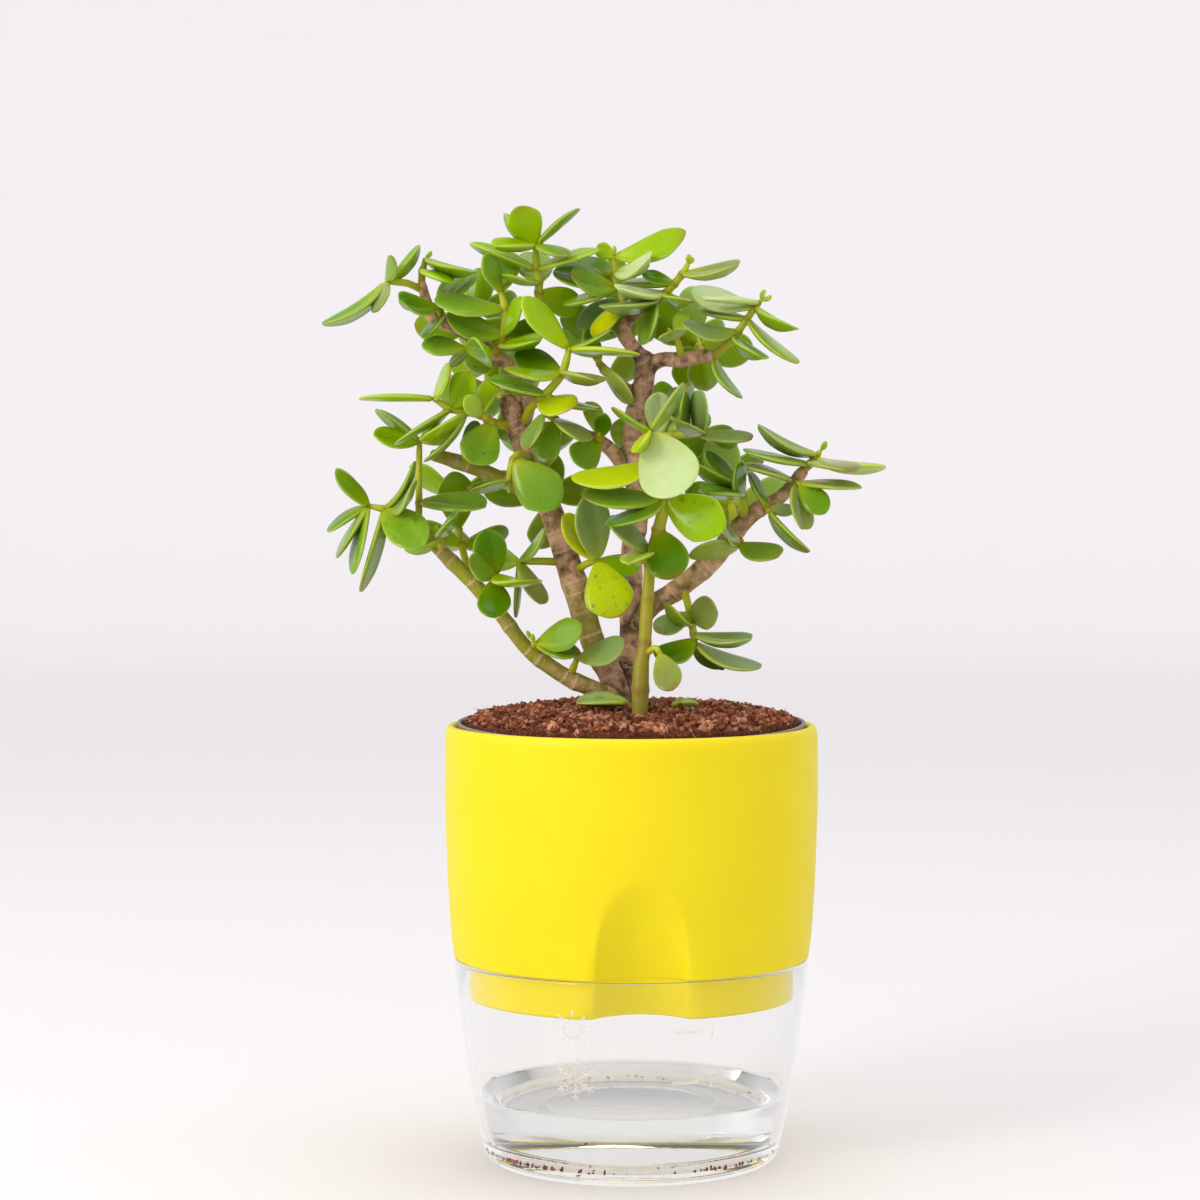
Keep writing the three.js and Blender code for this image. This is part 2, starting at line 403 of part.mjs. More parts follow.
function growPot() {
  const rim = GROW_RIM;
  const floor = GROW_BOTTOM + 1.2;
  const profile = [[0, GROW_BOTTOM], [growRadius(GROW_BOTTOM), GROW_BOTTOM], [growRadius(90), 90],
    [growRadius(rim - 5), rim - 5], [51.4, rim], [51.4 - GROW_WALL, rim],
    [growRadius(rim - 5) - GROW_WALL, rim - 5],
    [growRadius(90) - GROW_WALL, 90], [growRadius(floor) - GROW_WALL, floor], [0, floor]];
  const pot = turned(profile, 32, (point) => {
    if (point.z > rim - 1) point.z += GROW_TILT * point.y;
  });
  return withDrains(pot, GROW_BOTTOM, 20);
}

// Height of the crumbly soil
function soilHeight(x, y) {
  const spread = Math.min(1, Math.hypot(x, y) / 50);
  const dome = SOIL_EDGE + (SOIL_CROWN - SOIL_EDGE) * (1 - spread ** 3.4);
  const crumbs = Math.sin(0.55 * x + 1.3) * Math.cos(0.47 * y - 0.6) + 0.6 * Math.sin(0.9 * x - 0.8 * y);
  return dome + 0.45 * crumbs * (1 - 0.6 * spread ** 4);
}

function soil(stems) {
  const wall = GROW_WALL + GAP;
  const bottom = GROW_BOTTOM + 1.2 + GAP;
  const top = [49.2, 43, 35, 27, 19, 11, 0].map((radius) => [radius, SOIL_EDGE]);
  const profile = [[0, bottom], [growRadius(bottom) - wall, bottom], [growRadius(90) - wall, 90],
    [growRadius(120) - wall, 120], ...top];
  const body = turned(profile, 26, (point) => {
    if (point.z > SOIL_EDGE - 1) point.z = soilHeight(point.x, point.y);
  });
  return body.subtract(stems);
}

function fallenLeaf({ at: [x, y], heading, length, width }) {
  const turn = THREE.MathUtils.degToRad(heading);
  const along = new THREE.Vector3(Math.cos(turn), Math.sin(turn), 0);
  const ends = [-0.5, 0.5].map((half) => new THREE.Vector3(x, y, 0).addScaledVector(along, half * length));
  ends.forEach((end) => { end.z = soilHeight(end.x, end.y) + LEAF_THICKNESS / 2; });
  const face = new THREE.Vector3(0, -0.12, 1); // it leans on the crumbs, its front edge lower
  const leaf = leafSolid(makeLeaf(ends[0], ends[1], width, face, 0.05));
  let lift = 0;
  const { vertProperties } = leaf.getMesh();
  for (let i = 0; i < vertProperties.length; i += 3) {
    const [px, py, pz] = vertProperties.slice(i, i + 3);
    lift = Math.max(lift, soilHeight(px, py) + GAP + 0.2 - pz);
  }
  return leaf.translate(0, 0, lift);
}

// Stems

function front([across, up, depth]) {
  const scale = 1 + depth / EYE_DISTANCE;
  return new THREE.Vector3(across * scale, depth, EYE_HEIGHT + (up - EYE_HEIGHT) * scale);
}

// Smooth row of points through a stem's own, with radius
function refined(rows) {
  const steps = STEM_STEPS;
  const own = rows.map(([across, up, depth]) => new THREE.Vector3(across, up, depth));
  const curve = new THREE.CatmullRomCurve3(own, false, 'catmullrom', 0.5);
  const spans = rows.length - 1;
  const path = [];
  for (let i = 0; i <= spans * steps; i += 1) {
    const span = Math.min(spans - 1, Math.floor(i / steps));
    const part = i / steps - span;
    const flat = curve.getPoint(i / (spans * steps));
    const radius = rows[span][3] + (rows[span + 1][3] - rows[span][3]) * part;
    path.push({ flat, point: front(flat.toArray()), radius });
  }
  return path;
}

// Directions along and across a path, carried along it without twist
function frames(path) {
  let across = new THREE.Vector3(1, 0, 0);
  return path.map((_, i) => {
    const before = path[Math.max(0, i - 1)].point;
    const after = path[Math.min(path.length - 1, i + 1)].point;
    const along = after.clone().sub(before).normalize();
    if (i === 0 && Math.abs(along.x) > 0.9) across = new THREE.Vector3(0, 1, 0);
    across = across.addScaledVector(along, -across.dot(along)).normalize();
    return { along, across: across.clone(), side: new THREE.Vector3().crossVectors(along, across) };
  });
}

// A stem is a turned rod, one ring for each point of the path, bent along it
function rod(fine, sides, extra = 0) {
  const path = fine.filter((_, i) => i % STEM_STEPS === 0);
  const axes = frames(path);
  const last = path.length - 1;
  const rings = path.map((_, i) => new THREE.Vector2(1, i));
  const profile = [new THREE.Vector2(0, 0), ...rings, new THREE.Vector2(0, last + 1)];
  const geometry = new THREE.LatheGeometry(profile, sides);
  warp(geometry, (vertex) => {
    const i = Math.min(last, Math.round(vertex.y));
    const radius = path[i].radius + extra;
    const at = path[i].point.clone().addScaledVector(axes[i].across, radius * vertex.x);
    at.addScaledVector(axes[i].side, radius * vertex.z);
    if (vertex.y > last + 0.5) at.addScaledVector(axes[last].along, 0.6 * radius);
    vertex.copy(at);
  });
  return solid(geometry);
}

// Leaves

// Half width along a leaf, from its narrow foot to its round tip, as a part of the greatest
function spoon(t) {
  return Math.max(0.14, t * Math.sqrt(Math.max(0, 1 - t)) / 0.385);
}

function makeLeaf(base, tip, width, face, bow) {
  const along = tip.clone().sub(base);
  const length = along.length();
  along.normalize();
  const normal = face.clone().addScaledVector(along, -face.dot(along)).normalize();
  const side = new THREE.Vector3().crossVectors(along, normal);
  return { base, along, normal, side, length, width, bow, thick: LEAF_THICKNESS };
}

function leafPoint(leaf, t, u, h) {
  const at = leaf.base.clone().addScaledVector(leaf.along, leaf.length * t);
  at.addScaledVector(leaf.normal, leaf.bow * leaf.length * 4 * t * (1 - t) + h);
  return at.addScaledVector(leaf.side, u);
}

const LEAF_STATIONS = [0.2, 0.58, 0.88];

// A leaf is a turned four-sided spindle, spread to a thick spoon-shaped blade
function leafSolid(leaf) {
  const ends = [0, ...LEAF_STATIONS, 1];
  const profile = ends.map((t, i) => new THREE.Vector2(t === 0 || t === 1 ? 0 : 1, i));
  const geometry = new THREE.LatheGeometry(profile, 4);
  warp(geometry, (vertex) => {
    const t = ends[Math.round(vertex.y)];
    const thick = leaf.thick / 2 * (0.75 + 0.25 * Math.sin(Math.PI * t));
    vertex.copy(leafPoint(leaf, t, vertex.x * spoon(t) * leaf.width / 2, vertex.z * thick));
    if (t === 0) vertex.addScaledVector(leaf.along, -LEAF_ROOT);
  });
  return solid(geometry);
}

// Points all over a leaf's middle plane, each with the half thickness there
function leafSamples(leaf) {
  const samples = [];
  for (const t of [0.2, 0.36, 0.52, 0.68, 0.84, 0.97]) {
    for (const u of [-0.95, -0.5, 0, 0.5, 0.95]) {
      const at = leafPoint(leaf, t, u * spoon(t) * leaf.width / 2, 0);
      samples.push({ t, at, half: leaf.thick / 2 * (1 - 0.8 * Math.abs(u)) });
    }
  }
  return samples;
}

// How deep a sample lies in a leaf's space, counting the air wanted between them
function pressed(sample, leaf, air) {
  const from = sample.at.clone().sub(leaf.base);
  const t = from.dot(leaf.along) / leaf.length;
  if (t < -0.06 || t > 1.06) return false;
  const half = spoon(Math.min(0.97, Math.max(0, t))) * leaf.width / 2;
  const u = Math.abs(from.dot(leaf.side));
  if (u > half + sample.half + air) return false;
  const h = Math.abs(from.dot(leaf.normal) - leaf.bow * leaf.length * 4 * t * (1 - t));
  return h < leaf.thick / 2 * Math.max(0.1, 1 - 0.8 * u / half) + sample.half + air;
}

function distanceTo(point, a, b) {
  const run = b.clone().sub(a);
  const t = Math.min(1, Math.max(0, point.clone().sub(a).dot(run) / run.lengthSq()));
  return point.distanceTo(a.clone().addScaledVector(run, t));
}

const placed = []; // leaves that stand already: { leaf, samples, owner }
const stems = []; // stretches of stem: { a, b, radius, owner }

function noteStem(path, owner) {
  for (let i = 1; i < path.length; i += 1) {
    const [from, to] = [path[i - 1], path[i]];
    stems.push({ a: from.point, b: to.point, radius: Math.max(from.radius, to.radius), owner });
  }
}

function isClear(leaf, samples, owner) {
  for (const { at, half, t } of samples) {
    if (at.z < 132 && Math.hypot(at.x, at.y) > 44) return false;
    if (at.z < soilHeight(at.x, at.y) + 1.6) return false;
    for (const stem of stems) {
      if (stem.owner === owner) continue;
      if (distanceTo(at, stem.a, stem.b) < stem.radius + half + LEAF_CLEARANCE) return false;
    }
    for (const other of placed) {
      const own = other.owner === owner;
      if (own && t < 0.45) continue;
      if (pressed({ at, half }, other.leaf, own ? 0 : LEAF_CLEARANCE)) return false;
    }
  }
  for (const other of placed) {
    const own = other.owner === owner;
    for (const sample of other.samples) {
      if (own && sample.t < 0.45) continue;
      if (pressed(sample, leaf, own ? 0 : LEAF_CLEARANCE)) return false;
    }
  }
  return true;
}

function place(candidates, owner) {
  for (const leaf of candidates) {
    const samples = leafSamples(leaf);
    if (isClear(leaf, samples, owner)) {
      placed.push({ leaf, samples, owner });
      return leaf;
    }
  }
  return null;
}

let state = 20;
function draw(low, high) {
  state = (state * 1664525 + 1013904223) % 4294967296;
  return low + (high - low) * state / 4294967296;
}

// The upper face that shows this much of a leaf to the eye, its edge included
function faceSeen(base, along, width, seen) {
  const eye = new THREE.Vector3(0, -EYE_DISTANCE, EYE_HEIGHT).sub(base).normalize();
  const level = new THREE.Vector3().crossVectors(along, eye).normalize();
  if (level.z < 0) level.negate();
  const facing = new THREE.Vector3().crossVectors(level, along).normalize();
  if (facing.dot(eye) < 0) facing.negate();
  const part = Math.abs(seen) - 0.9 * (1 - Math.abs(seen) / width);
  const edge = LEAF_THICKNESS ** 2;
  const lean = Math.asin(Math.sqrt(Math.max(0, Math.min(1, (part * part - edge) / (width * width - edge)))));
  return level.multiplyScalar(Math.cos(lean)).addScaledVector(facing, Math.sign(seen) * Math.sin(lean));
}

// A leaf that shows from the front. Where its place is taken it leans nearer or deeper, or grows smaller.
function seenLeaf(row, path, owner) {
  const [baseAcross, baseUp, tipAcross, tipUp, deeper, seen] = row;
  const miss = ({ flat }) => Math.hypot(flat.x - baseAcross, flat.y - baseUp);
  const foot = path.reduce((best, next) => (miss(next) < miss(best) ? next : best));
  const bow = draw(-0.1, 0.04);
  const candidates = [];
  for (const shrink of [1, 0.88, 0.76]) {
    for (const shift of [0, -3, 3, -6, 6, -9, 9, -13, 13]) {
      const far = front([tipAcross, tipUp, foot.flat.z + deeper + shift]);
      const tip = foot.point.clone().lerp(far, shrink);
      const length = tip.distanceTo(foot.point);
      const width = Math.max(Math.abs(seen), LEAF_RATIO * length) * shrink;
      const along = tip.clone().sub(foot.point).normalize();
      const face = faceSeen(foot.point, along, width, seen);
      candidates.push(makeLeaf(foot.point.clone(), tip, width, face, bow));
    }
  }
  return place(candidates, owner);
}

// A leaf of a crossed pair round the twig, where no leaf is placed by hand
function ruledLeaf(index, count, path, owner) {
  const axes = frames(path);
  const pair = Math.floor(index / 2);
  const reach = 1 - (pair + 0.1) / Math.max(2, Math.ceil(count / 2) + 0.6);
  const i = Math.max(1, Math.round(reach * (path.length - 1)));
  const { along, across, side } = axes[i];
  const quarter = (pair % 2) * Math.PI / 2 + (index % 2) * Math.PI + draw(-0.3, 0.3);
  const size = draw(14.5, 20.5) * (pair === 0 ? 0.85 : 1);
  const spread = (pair === 0 ? 48 : 66) + draw(-8, 8);
  const bow = draw(-0.1, 0.03);
  const candidates = [];
  for (const shrink of [1, 0.82, 0.68]) {
    for (const swing of [0, 22, -22, 44, -44, 70, -70, 100, -100]) {
      const angle = quarter + THREE.MathUtils.degToRad(swing);
      const out = across.clone().multiplyScalar(Math.cos(angle)).addScaledVector(side, Math.sin(angle));
      const open = THREE.MathUtils.degToRad(spread);
      const heading = along.clone().multiplyScalar(Math.cos(open)).addScaledVector(out, Math.sin(open));
      const tip = path[i].point.clone().addScaledVector(heading, size * shrink);
      candidates.push(makeLeaf(path[i].point.clone(), tip, LEAF_RATIO * size * shrink, along.clone(), bow));
    }
  }
  return place(candidates, owner);
}

// The whole plant

const group = new THREE.Group();

function add(name, manifold, colour) {
  const mesh = new THREE.Mesh(shape(manifold), new THREE.MeshStandardMaterial(COLOURS[colour]));
  mesh.name = name;
  group.add(mesh);
}

const woodPaths = WOOD.map((rows) => refined(rows));
const frontPath = refined(FRONT_STEM);
const woodSolid = (extra) => wasm.Manifold.union(woodPaths.map((path) => rod(path, 6, extra)));
const wood = woodSolid(0);
const stemRoom = woodSolid(GAP).add(rod(frontPath, 8, GAP));
woodPaths.forEach((path) => noteStem(path, 'wood'));
noteStem(frontPath, 'front_stem');

for (const shoot of SHOOTS) {
  shoot.path = refined(shoot.twig);
  noteStem(shoot.path, shoot.name);
}
for (const shoot of SHOOTS) {
  shoot.solids = shoot.leaves.map((row) => seenLeaf(row, shoot.path, shoot.name));
}
for (const shoot of SHOOTS) {
  for (let i = 0; i < shoot.more; i += 1) {
    shoot.solids.push(ruledLeaf(i, shoot.more, shoot.path, shoot.name));
  }
}

add('reservoir', reservoir(), 'clear');
add('water', water(), 'water');
add('outer_pot', outerPot(), 'yellow');
add('grow_pot', growPot(), 'grey');
add('soil', soil(stemRoom), 'soil');
add('wood', wood, 'wood');
add('front_stem', rod(frontPath, 8), 'stem');
for (const shoot of SHOOTS) {
  const leaves = shoot.solids.filter((leaf) => leaf !== null).map(leafSolid);
  const joined = wasm.Manifold.union([rod(shoot.path, 4), ...leaves]);
  add(shoot.name, mainBody(joined.subtract(stemRoom)), 'leaf');
}
FALLEN.forEach((leaf) => add(leaf.name, fallenLeaf(leaf), 'leaf'));

group.updateMatrixWorld(true);

export default group;
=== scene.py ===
# %% [markdown]
# # A potted jade plant
# The object is a small branching jade plant in a self-watering planter. It has a clear plastic
# reservoir, a yellow pot with a pouring scoop that nests in it, a thin grey nursery pot inside, coir
# soil, woody stems, a thick green stem in front, and some forty leafy shoots.
# The CAD model gives every piece its place and size. This script gives each one its real surface.
# All lengths here are millimetres until a mesh is written, because that is how a planter is measured.

# %% Load the frame
import math

import bmesh
import bpy
import numpy as np
from mathutils import Matrix, Vector, kdtree, noise


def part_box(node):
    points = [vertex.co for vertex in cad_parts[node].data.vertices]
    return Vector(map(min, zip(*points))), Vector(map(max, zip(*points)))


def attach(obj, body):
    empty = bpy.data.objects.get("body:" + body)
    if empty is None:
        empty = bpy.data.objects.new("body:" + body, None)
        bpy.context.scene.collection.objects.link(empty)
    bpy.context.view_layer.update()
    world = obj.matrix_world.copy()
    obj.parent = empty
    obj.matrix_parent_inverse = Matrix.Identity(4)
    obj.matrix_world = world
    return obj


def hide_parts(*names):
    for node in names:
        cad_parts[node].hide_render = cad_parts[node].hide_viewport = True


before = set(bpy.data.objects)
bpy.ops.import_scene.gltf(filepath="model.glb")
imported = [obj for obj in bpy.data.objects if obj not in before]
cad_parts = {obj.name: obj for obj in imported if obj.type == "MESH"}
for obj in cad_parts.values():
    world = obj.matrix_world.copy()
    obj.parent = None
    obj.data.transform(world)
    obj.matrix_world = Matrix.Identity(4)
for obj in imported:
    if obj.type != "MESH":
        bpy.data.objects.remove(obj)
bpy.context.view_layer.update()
MM = 0.001

# %% [markdown]
# ## Camera, floor and light
# The photograph looks at the plant from the front, level with its lower branches. A long lens keeps the
# pots nearly free of perspective. The floor curves up far behind the plant, as studio paper does, so
# no horizon line crosses the leaves. A big soft light stands at the left, where the pot is
# brightest, with a weaker one at the right and one above.

# %% Camera
lens = bpy.data.cameras.new("camera")
lens.lens, lens.sensor_width = 91.5, 36
camera = bpy.data.objects.new("camera", lens)
camera.location = (0, -0.9, 0.1977)
camera.rotation_euler = (math.radians(90 - 2.065), 0, math.radians(0.59))
bpy.context.collection.objects.link(camera)
bpy.context.scene.camera = camera
bpy.context.scene.view_settings.view_transform = "Standard"
print("camera stands at", tuple(camera.location))


# %% Small helpers for meshes
def mesh_object(name, points, faces, smooth=True):
    """A mesh object from points in millimetres, with its place in the mesh."""
    mesh = bpy.data.meshes.new(name)
    mesh.from_pydata((np.asarray(points, float) * MM).tolist(), [], faces)
    mesh.validate()
    mesh.shade_smooth() if smooth else mesh.shade_flat()
    made = bpy.data.objects.new(name, mesh)
    bpy.context.collection.objects.link(made)
    return made


def skin(name, rings):
    """Closed solid through rings of points. A first or last ring may be a single point, the pole."""
    points, starts = [], []
    for ring in rings:
        starts.append(len(points))
        points.extend(ring)
    faces = []
    for k in range(len(rings) - 1):
        a, b, na, nb = starts[k], starts[k + 1], len(rings[k]), len(rings[k + 1])
        for j in range(max(na, nb)):
            i = (j + 1) % max(na, nb)
            if na == 1:
                faces.append((a, b + j, b + i))
            elif nb == 1:
                faces.append((a + j, b, a + i))
            else:
                faces.append((a + j, b + j, b + i, a + i))
    grid = np.asarray(points, float)
    first = grid[[face[0] for face in faces]]
    second = grid[[face[1] for face in faces]]
    third = grid[[face[2] for face in faces]]
    if np.einsum("ij,ij->", first, np.cross(second, third)) < 0:
        faces = [face[::-1] for face in faces]
    return mesh_object(name, grid, faces)


def note(thing, name, values):
    """Keeps one number for each point of the mesh, for a material or a node tree to read."""
    layer = thing.data.attributes.new(name, "FLOAT", "POINT")
    layer.data.foreach_set("value", np.asarray(values, np.float32))


def places(thing):
    """The mesh's points in millimetres."""
    flat = np.empty(len(thing.data.vertices) * 3, np.float32)
    thing.data.vertices.foreach_get("co", flat)
    return flat.reshape(-1, 3).astype(float) / MM


def plain(thing, name=None):
    """The object with its modifiers carried out, as a plain mesh."""
    evaluated = thing.evaluated_get(bpy.context.evaluated_depsgraph_get())
    mesh = bpy.data.meshes.new_from_object(evaluated)
    thing.modifiers.clear()
    old, thing.data = thing.data, mesh
    bpy.data.meshes.remove(old)
    if name:
        thing.name = name
    return thing


def joined(parts, name):
    """One object out of several, under a new name."""
    with bpy.context.temp_override(active_object=parts[0], selected_editable_objects=parts):
        bpy.ops.object.join()
    parts[0].name = name
    return parts[0]


def triangles(thing):
    return sum(len(face.vertices) - 2 for face in thing.data.polygons)


def put(tree, kind, inputs=None, **settings):
    """A node with its settings and its inputs, each input a value or the socket that feeds it."""
    made = tree.nodes.new(kind)
    for name, value in settings.items():
        setattr(made, name, value)
    for name, value in (inputs or {}).items():
        if isinstance(value, bpy.types.NodeSocket):
            tree.links.new(value, made.inputs[name])
        else:
            made.inputs[name].default_value = value
    return made


def maths(tree, operation, *values, clamp=False):
    """A Math node's result. Each value is a number or the socket that feeds it."""
    inputs = dict(enumerate(values))
    return put(tree, "ShaderNodeMath", inputs, operation=operation, use_clamp=clamp).outputs[0]


def ranged(tree, value, from_low, from_high, low, high):
    """A value carried from one range to another, and held at its ends."""
    return put(tree, "ShaderNodeMapRange", {"Value": value, "From Min": from_low, "From Max": from_high,
                                            "To Min": low, "To Max": high}).outputs[0]


def new_tree(kind, name, inputs, outputs):
    """A node group with named sockets, and the values that come in through them."""
    tree = bpy.data.node_groups.new(name, kind)
    for label, socket_kind, *value in inputs:
        socket = tree.interface.new_socket(label, in_out="INPUT", socket_type=socket_kind)
        if value:
            socket.default_value = value[0]
    for label, socket_kind in outputs:
        tree.interface.new_socket(label, in_out="OUTPUT", socket_type=socket_kind)
    return tree, put(tree, "NodeGroupInput").outputs


FLOAT, COLOUR, GEOMETRY = "NodeSocketFloat", "NodeSocketColor", "NodeSocketGeometry"


# %% Paper floor that curves up all round
def paper():
    """A wide flat disc whose edge curves up into a low wall, so no horizon shows from any side."""
    flat, bend, sides = 2400, 800, 96
    rows = [(0.0, 0.0), (flat / 2, 0.0), (flat, 0.0)]
    rows += [(flat + bend * math.sin(a), bend - bend * math.cos(a))
             for a in np.linspace(0.08, math.pi / 2, 16)]
    rows.append((flat + bend, 1400.0))
    angles = np.linspace(0, 2 * math.pi, sides, endpoint=False)
    points = [(r * math.cos(a), r * math.sin(a), z) for r, z in rows for a in angles]
    faces = []
    for k in range(len(rows) - 1):
        for j in range(sides):
            i, low, high = (j + 1) % sides, k * sides, (k + 1) * sides
            faces.append((low + j, low + i, high + i, high + j))
    return mesh_object("paper_floor", points, [face[::-1] for face in faces])


floor = paper()
floor.visible_glossy = False
paper_finish = bpy.data.materials.new("pale_paper")
paper_finish.use_nodes = True
paper_shader = paper_finish.node_tree.nodes["Principled BSDF"]
paper_shader.inputs["Roughness"].default_value = 0.9
# The lights are nearest to the middle, so the paper is a little greyer there and looks even
paper_tree = paper_finish.node_tree
spot = put(paper_tree, "ShaderNodeTexCoord").outputs["Object"]
far = put(paper_tree, "ShaderNodeVectorMath", {0: spot}, operation="LENGTH").outputs["Value"]
outwards = ranged(paper_tree, far, 0.3, 3.0, 0.0, 1.0)
paper_colour = put(paper_tree, "ShaderNodeMix", {0: outwards}, data_type="RGBA")
paper_colour.inputs[6].default_value = (0.8, 0.78, 0.79, 1)
paper_colour.inputs[7].default_value = (0.985, 0.965, 0.975, 1)
paper_tree.links.new(paper_colour.outputs[2], paper_shader.inputs["Base Color"])
floor.data.materials.append(paper_finish)
print("floor has", len(floor.data.polygons), "faces")


# %% Soft lights
def softbox(name, place, aim, size, power, tint=(1, 1, 1)):
    light = bpy.data.lights.new(name, "AREA")
    light.shape, light.size, light.size_y = "RECTANGLE", size[0], size[1]
    light.energy, light.color = power, tint
    made = bpy.data.objects.new(name, light)
    made.location = place
    made.rotation_euler = (Vector(aim) - Vector(place)).to_track_quat("-Z", "Y").to_euler()
    made.visible_camera = False
    bpy.context.collection.objects.link(made)
    return made


softbox("key_left", (-0.9, -0.9, 0.85), (0, 0, 0.16), (0.4, 0.5), 5.8, (1, 0.97, 0.93))
softbox("window_left", (-1.15, -0.5, 0.6), (0, 0, 0.12), (0.9, 0.5), 3.0, (1, 0.98, 0.95))
softbox("fill_right", (1.1, -0.7, 0.55), (0, 0, 0.14), (0.6, 0.9), 0.3, (0.97, 0.98, 1))
softbox("top", (0.1, 0.1, 1.3), (0, 0, 0.15), (0.8, 0.8), 3.7)
world = bpy.data.worlds.new("studio")
bpy.context.scene.world = world
world.use_nodes = True
sky = world.node_tree
sky.nodes["Background"].inputs["Color"].default_value = (0.99, 0.98, 1, 1)
# Gloss mirrors a room that is dim in front and overhead and bright behind, so colours stay deep and
# the clear plastic keeps light edges
BRIGHT, DIMMER = 0.92, -0.76
mirrored = put(sky, "ShaderNodeLightPath").outputs["Is Glossy Ray"]
way = put(sky, "ShaderNodeTexCoord").outputs["Generated"]
way = put(sky, "ShaderNodeSeparateXYZ", {0: way}).outputs
in_front = ranged(sky, way["Y"], -0.2, 0.75, DIMMER, 0.0)
overhead = ranged(sky, way["Z"], 0.3, 0.75, 0.0, DIMMER)
strength = maths(sky, "MULTIPLY_ADD", mirrored, maths(sky, "MINIMUM", in_front, overhead), BRIGHT)
sky.links.new(strength, sky.nodes["Background"].inputs["Strength"])

# %% [markdown]
# ## The measures of the planter
# Both pots and the reservoir are turned shapes, so each is a short table of height and radius. These
# are the CAD model's own values. The yellow pot isn't quite turned: a round scoop, through which the
# reservoir is filled, is pressed into its front and runs inwards as it goes down.

# %% Planter values
GAP = 0.3
RESERVOIR_FOOT, RESERVOIR_FLOOR, RESERVOIR_WALL = 41, 3.4, 2.3
WATER_LEVEL = 20.7
POT_BOTTOM, POT_RIM, POT_WALL = 48.6, 128.4, 2.8
GROW_BOTTOM, GROW_RIM, GROW_WALL, GROW_TILT = 51.7, 129.6, 1.1, 0.016
SOIL_EDGE, SOIL_CROWN = 129.4, 134.1
# The scoop's face starts at the wall at its apex and runs inwards at this slope. It turns a little to
# the right, and its edge is eased out over the wall beside it
SCOOP_APEX, SCOOP_START, SCOOP_SLOPE, SCOOP_RADIUS = 87, 54.5, 0.45, 14.5
SCOOP_TURN, SCOOP_EASE = math.radians(3.3), 1.8
RESERVOIR_SIDE = [(0, 41), (1.8, 43.4), (7, 44.6), (17.5, 46.8), (29.3, 48.9), (45.2, 50.9), (59.8, 52.6)]


def at_height(rows, height):
    """Radius of a turned side at this height, straight between the rows."""
    heights, radii = zip(*rows)
    return np.interp(height, heights, radii)


def grow_radius(height):
    return 33.5 + 18 * (height - GROW_BOTTOM) / (POT_RIM - GROW_BOTTOM)


def soil_height(x, y):
    """Height of the crumbly, slightly domed soil."""
    spread = np.minimum(1, np.hypot(x, y) / 50)
    dome = SOIL_EDGE + (SOIL_CROWN - SOIL_EDGE) * (1 - spread**3.4)
    crumbs = np.sin(0.55 * x + 1.3) * np.cos(0.47 * y - 0.6) + 0.6 * np.sin(0.9 * x - 0.8 * y)
    return dome + 0.45 * crumbs * (1 - 0.6 * spread**4)


def rounded(corners, steps=5):
    """A profile with its corners rounded. Each corner is radius, height and how far the rounding reaches."""
    out = []
    for i, (r, h, reach) in enumerate(corners):
        here = np.array((r, h), float)
        if reach == 0 or i in (0, len(corners) - 1):
            out.append(tuple(here))
            continue
        before, after = (np.array(corners[i + d][:2], float) - here for d in (-1, 1))
        start, end = (here + v * min(0.5, reach / np.linalg.norm(v)) for v in (before, after))
        for t in np.linspace(0, 1, steps + 1):
            out.append(tuple((1 - t) ** 2 * start + 2 * t * (1 - t) * here + t**2 * end))
    return out


def turn_rings(profile, angles):
    """Rings of points for a turned solid. A radius of zero becomes the pole."""
    rings = []
    for radius, height in profile:
        if radius < 1e-6:
            rings.append([(0, 0, height)])
        else:
            rings.append([(radius * math.sin(a), -radius * math.cos(a), height) for a in angles])
    return rings


ROUND = np.linspace(0, 2 * math.pi, 160, endpoint=False)
print("soil stands", round(float(soil_height(0, 0)), 1), "mm high in the middle")

# %% [markdown]
# ## Shared finishes
# Four effects come back on several materials: soft mottling of colour, a fine grain for bumps, edges
# that catch the light, and rings round a stem. Each is a shader node group with named inputs, built
# once, so that one good effect can be tuned for plastic, soil, bark or leaf by its values alone.


# %% Group: mottling
def cloud_at(tree, rate, **settings):
    """Soft noise in the object's own coordinates, this many times a metre."""
    place = put(tree, "ShaderNodeTexCoord").outputs["Object"]
    labels = {label.title(): value for label, value in settings.items()}
    return put(tree, "ShaderNodeTexNoise", {"Vector": place, "Scale": rate, **labels}).outputs["Fac"]


def mottling_group():
    tree, given = new_tree("ShaderNodeTree", "Mottling", [
        ("Colour A", COLOUR, (1, 1, 1, 1)), ("Colour B", COLOUR, (0, 0, 0, 1)),
        ("Size", FLOAT, 0.004), ("Sharpness", FLOAT, 0.3), ("Amount of B", FLOAT, 0.5)],
        [("Colour", COLOUR), ("Mask", FLOAT)])
    cloud = cloud_at(tree, maths(tree, "DIVIDE", 1.0, given["Size"]), detail=4.0, roughness=0.6)
    away = maths(tree, "SUBTRACT", cloud, maths(tree, "SUBTRACT", 1.0, given["Amount of B"]))
    slope = maths(tree, "DIVIDE", away, maths(tree, "SUBTRACT", 1.02, given["Sharpness"]))
    mask = maths(tree, "ADD", slope, 0.5, clamp=True)
    blend = put(tree, "ShaderNodeMix", {0: mask}, data_type="RGBA")
    tree.links.new(given["Colour A"], blend.inputs[6])
    tree.links.new(given["Colour B"], blend.inputs[7])
    put(tree, "NodeGroupOutput", {"Colour": blend.outputs[2], "Mask": mask})
    return tree


MOTTLING = mottling_group()
print("group ready:", MOTTLING.name)


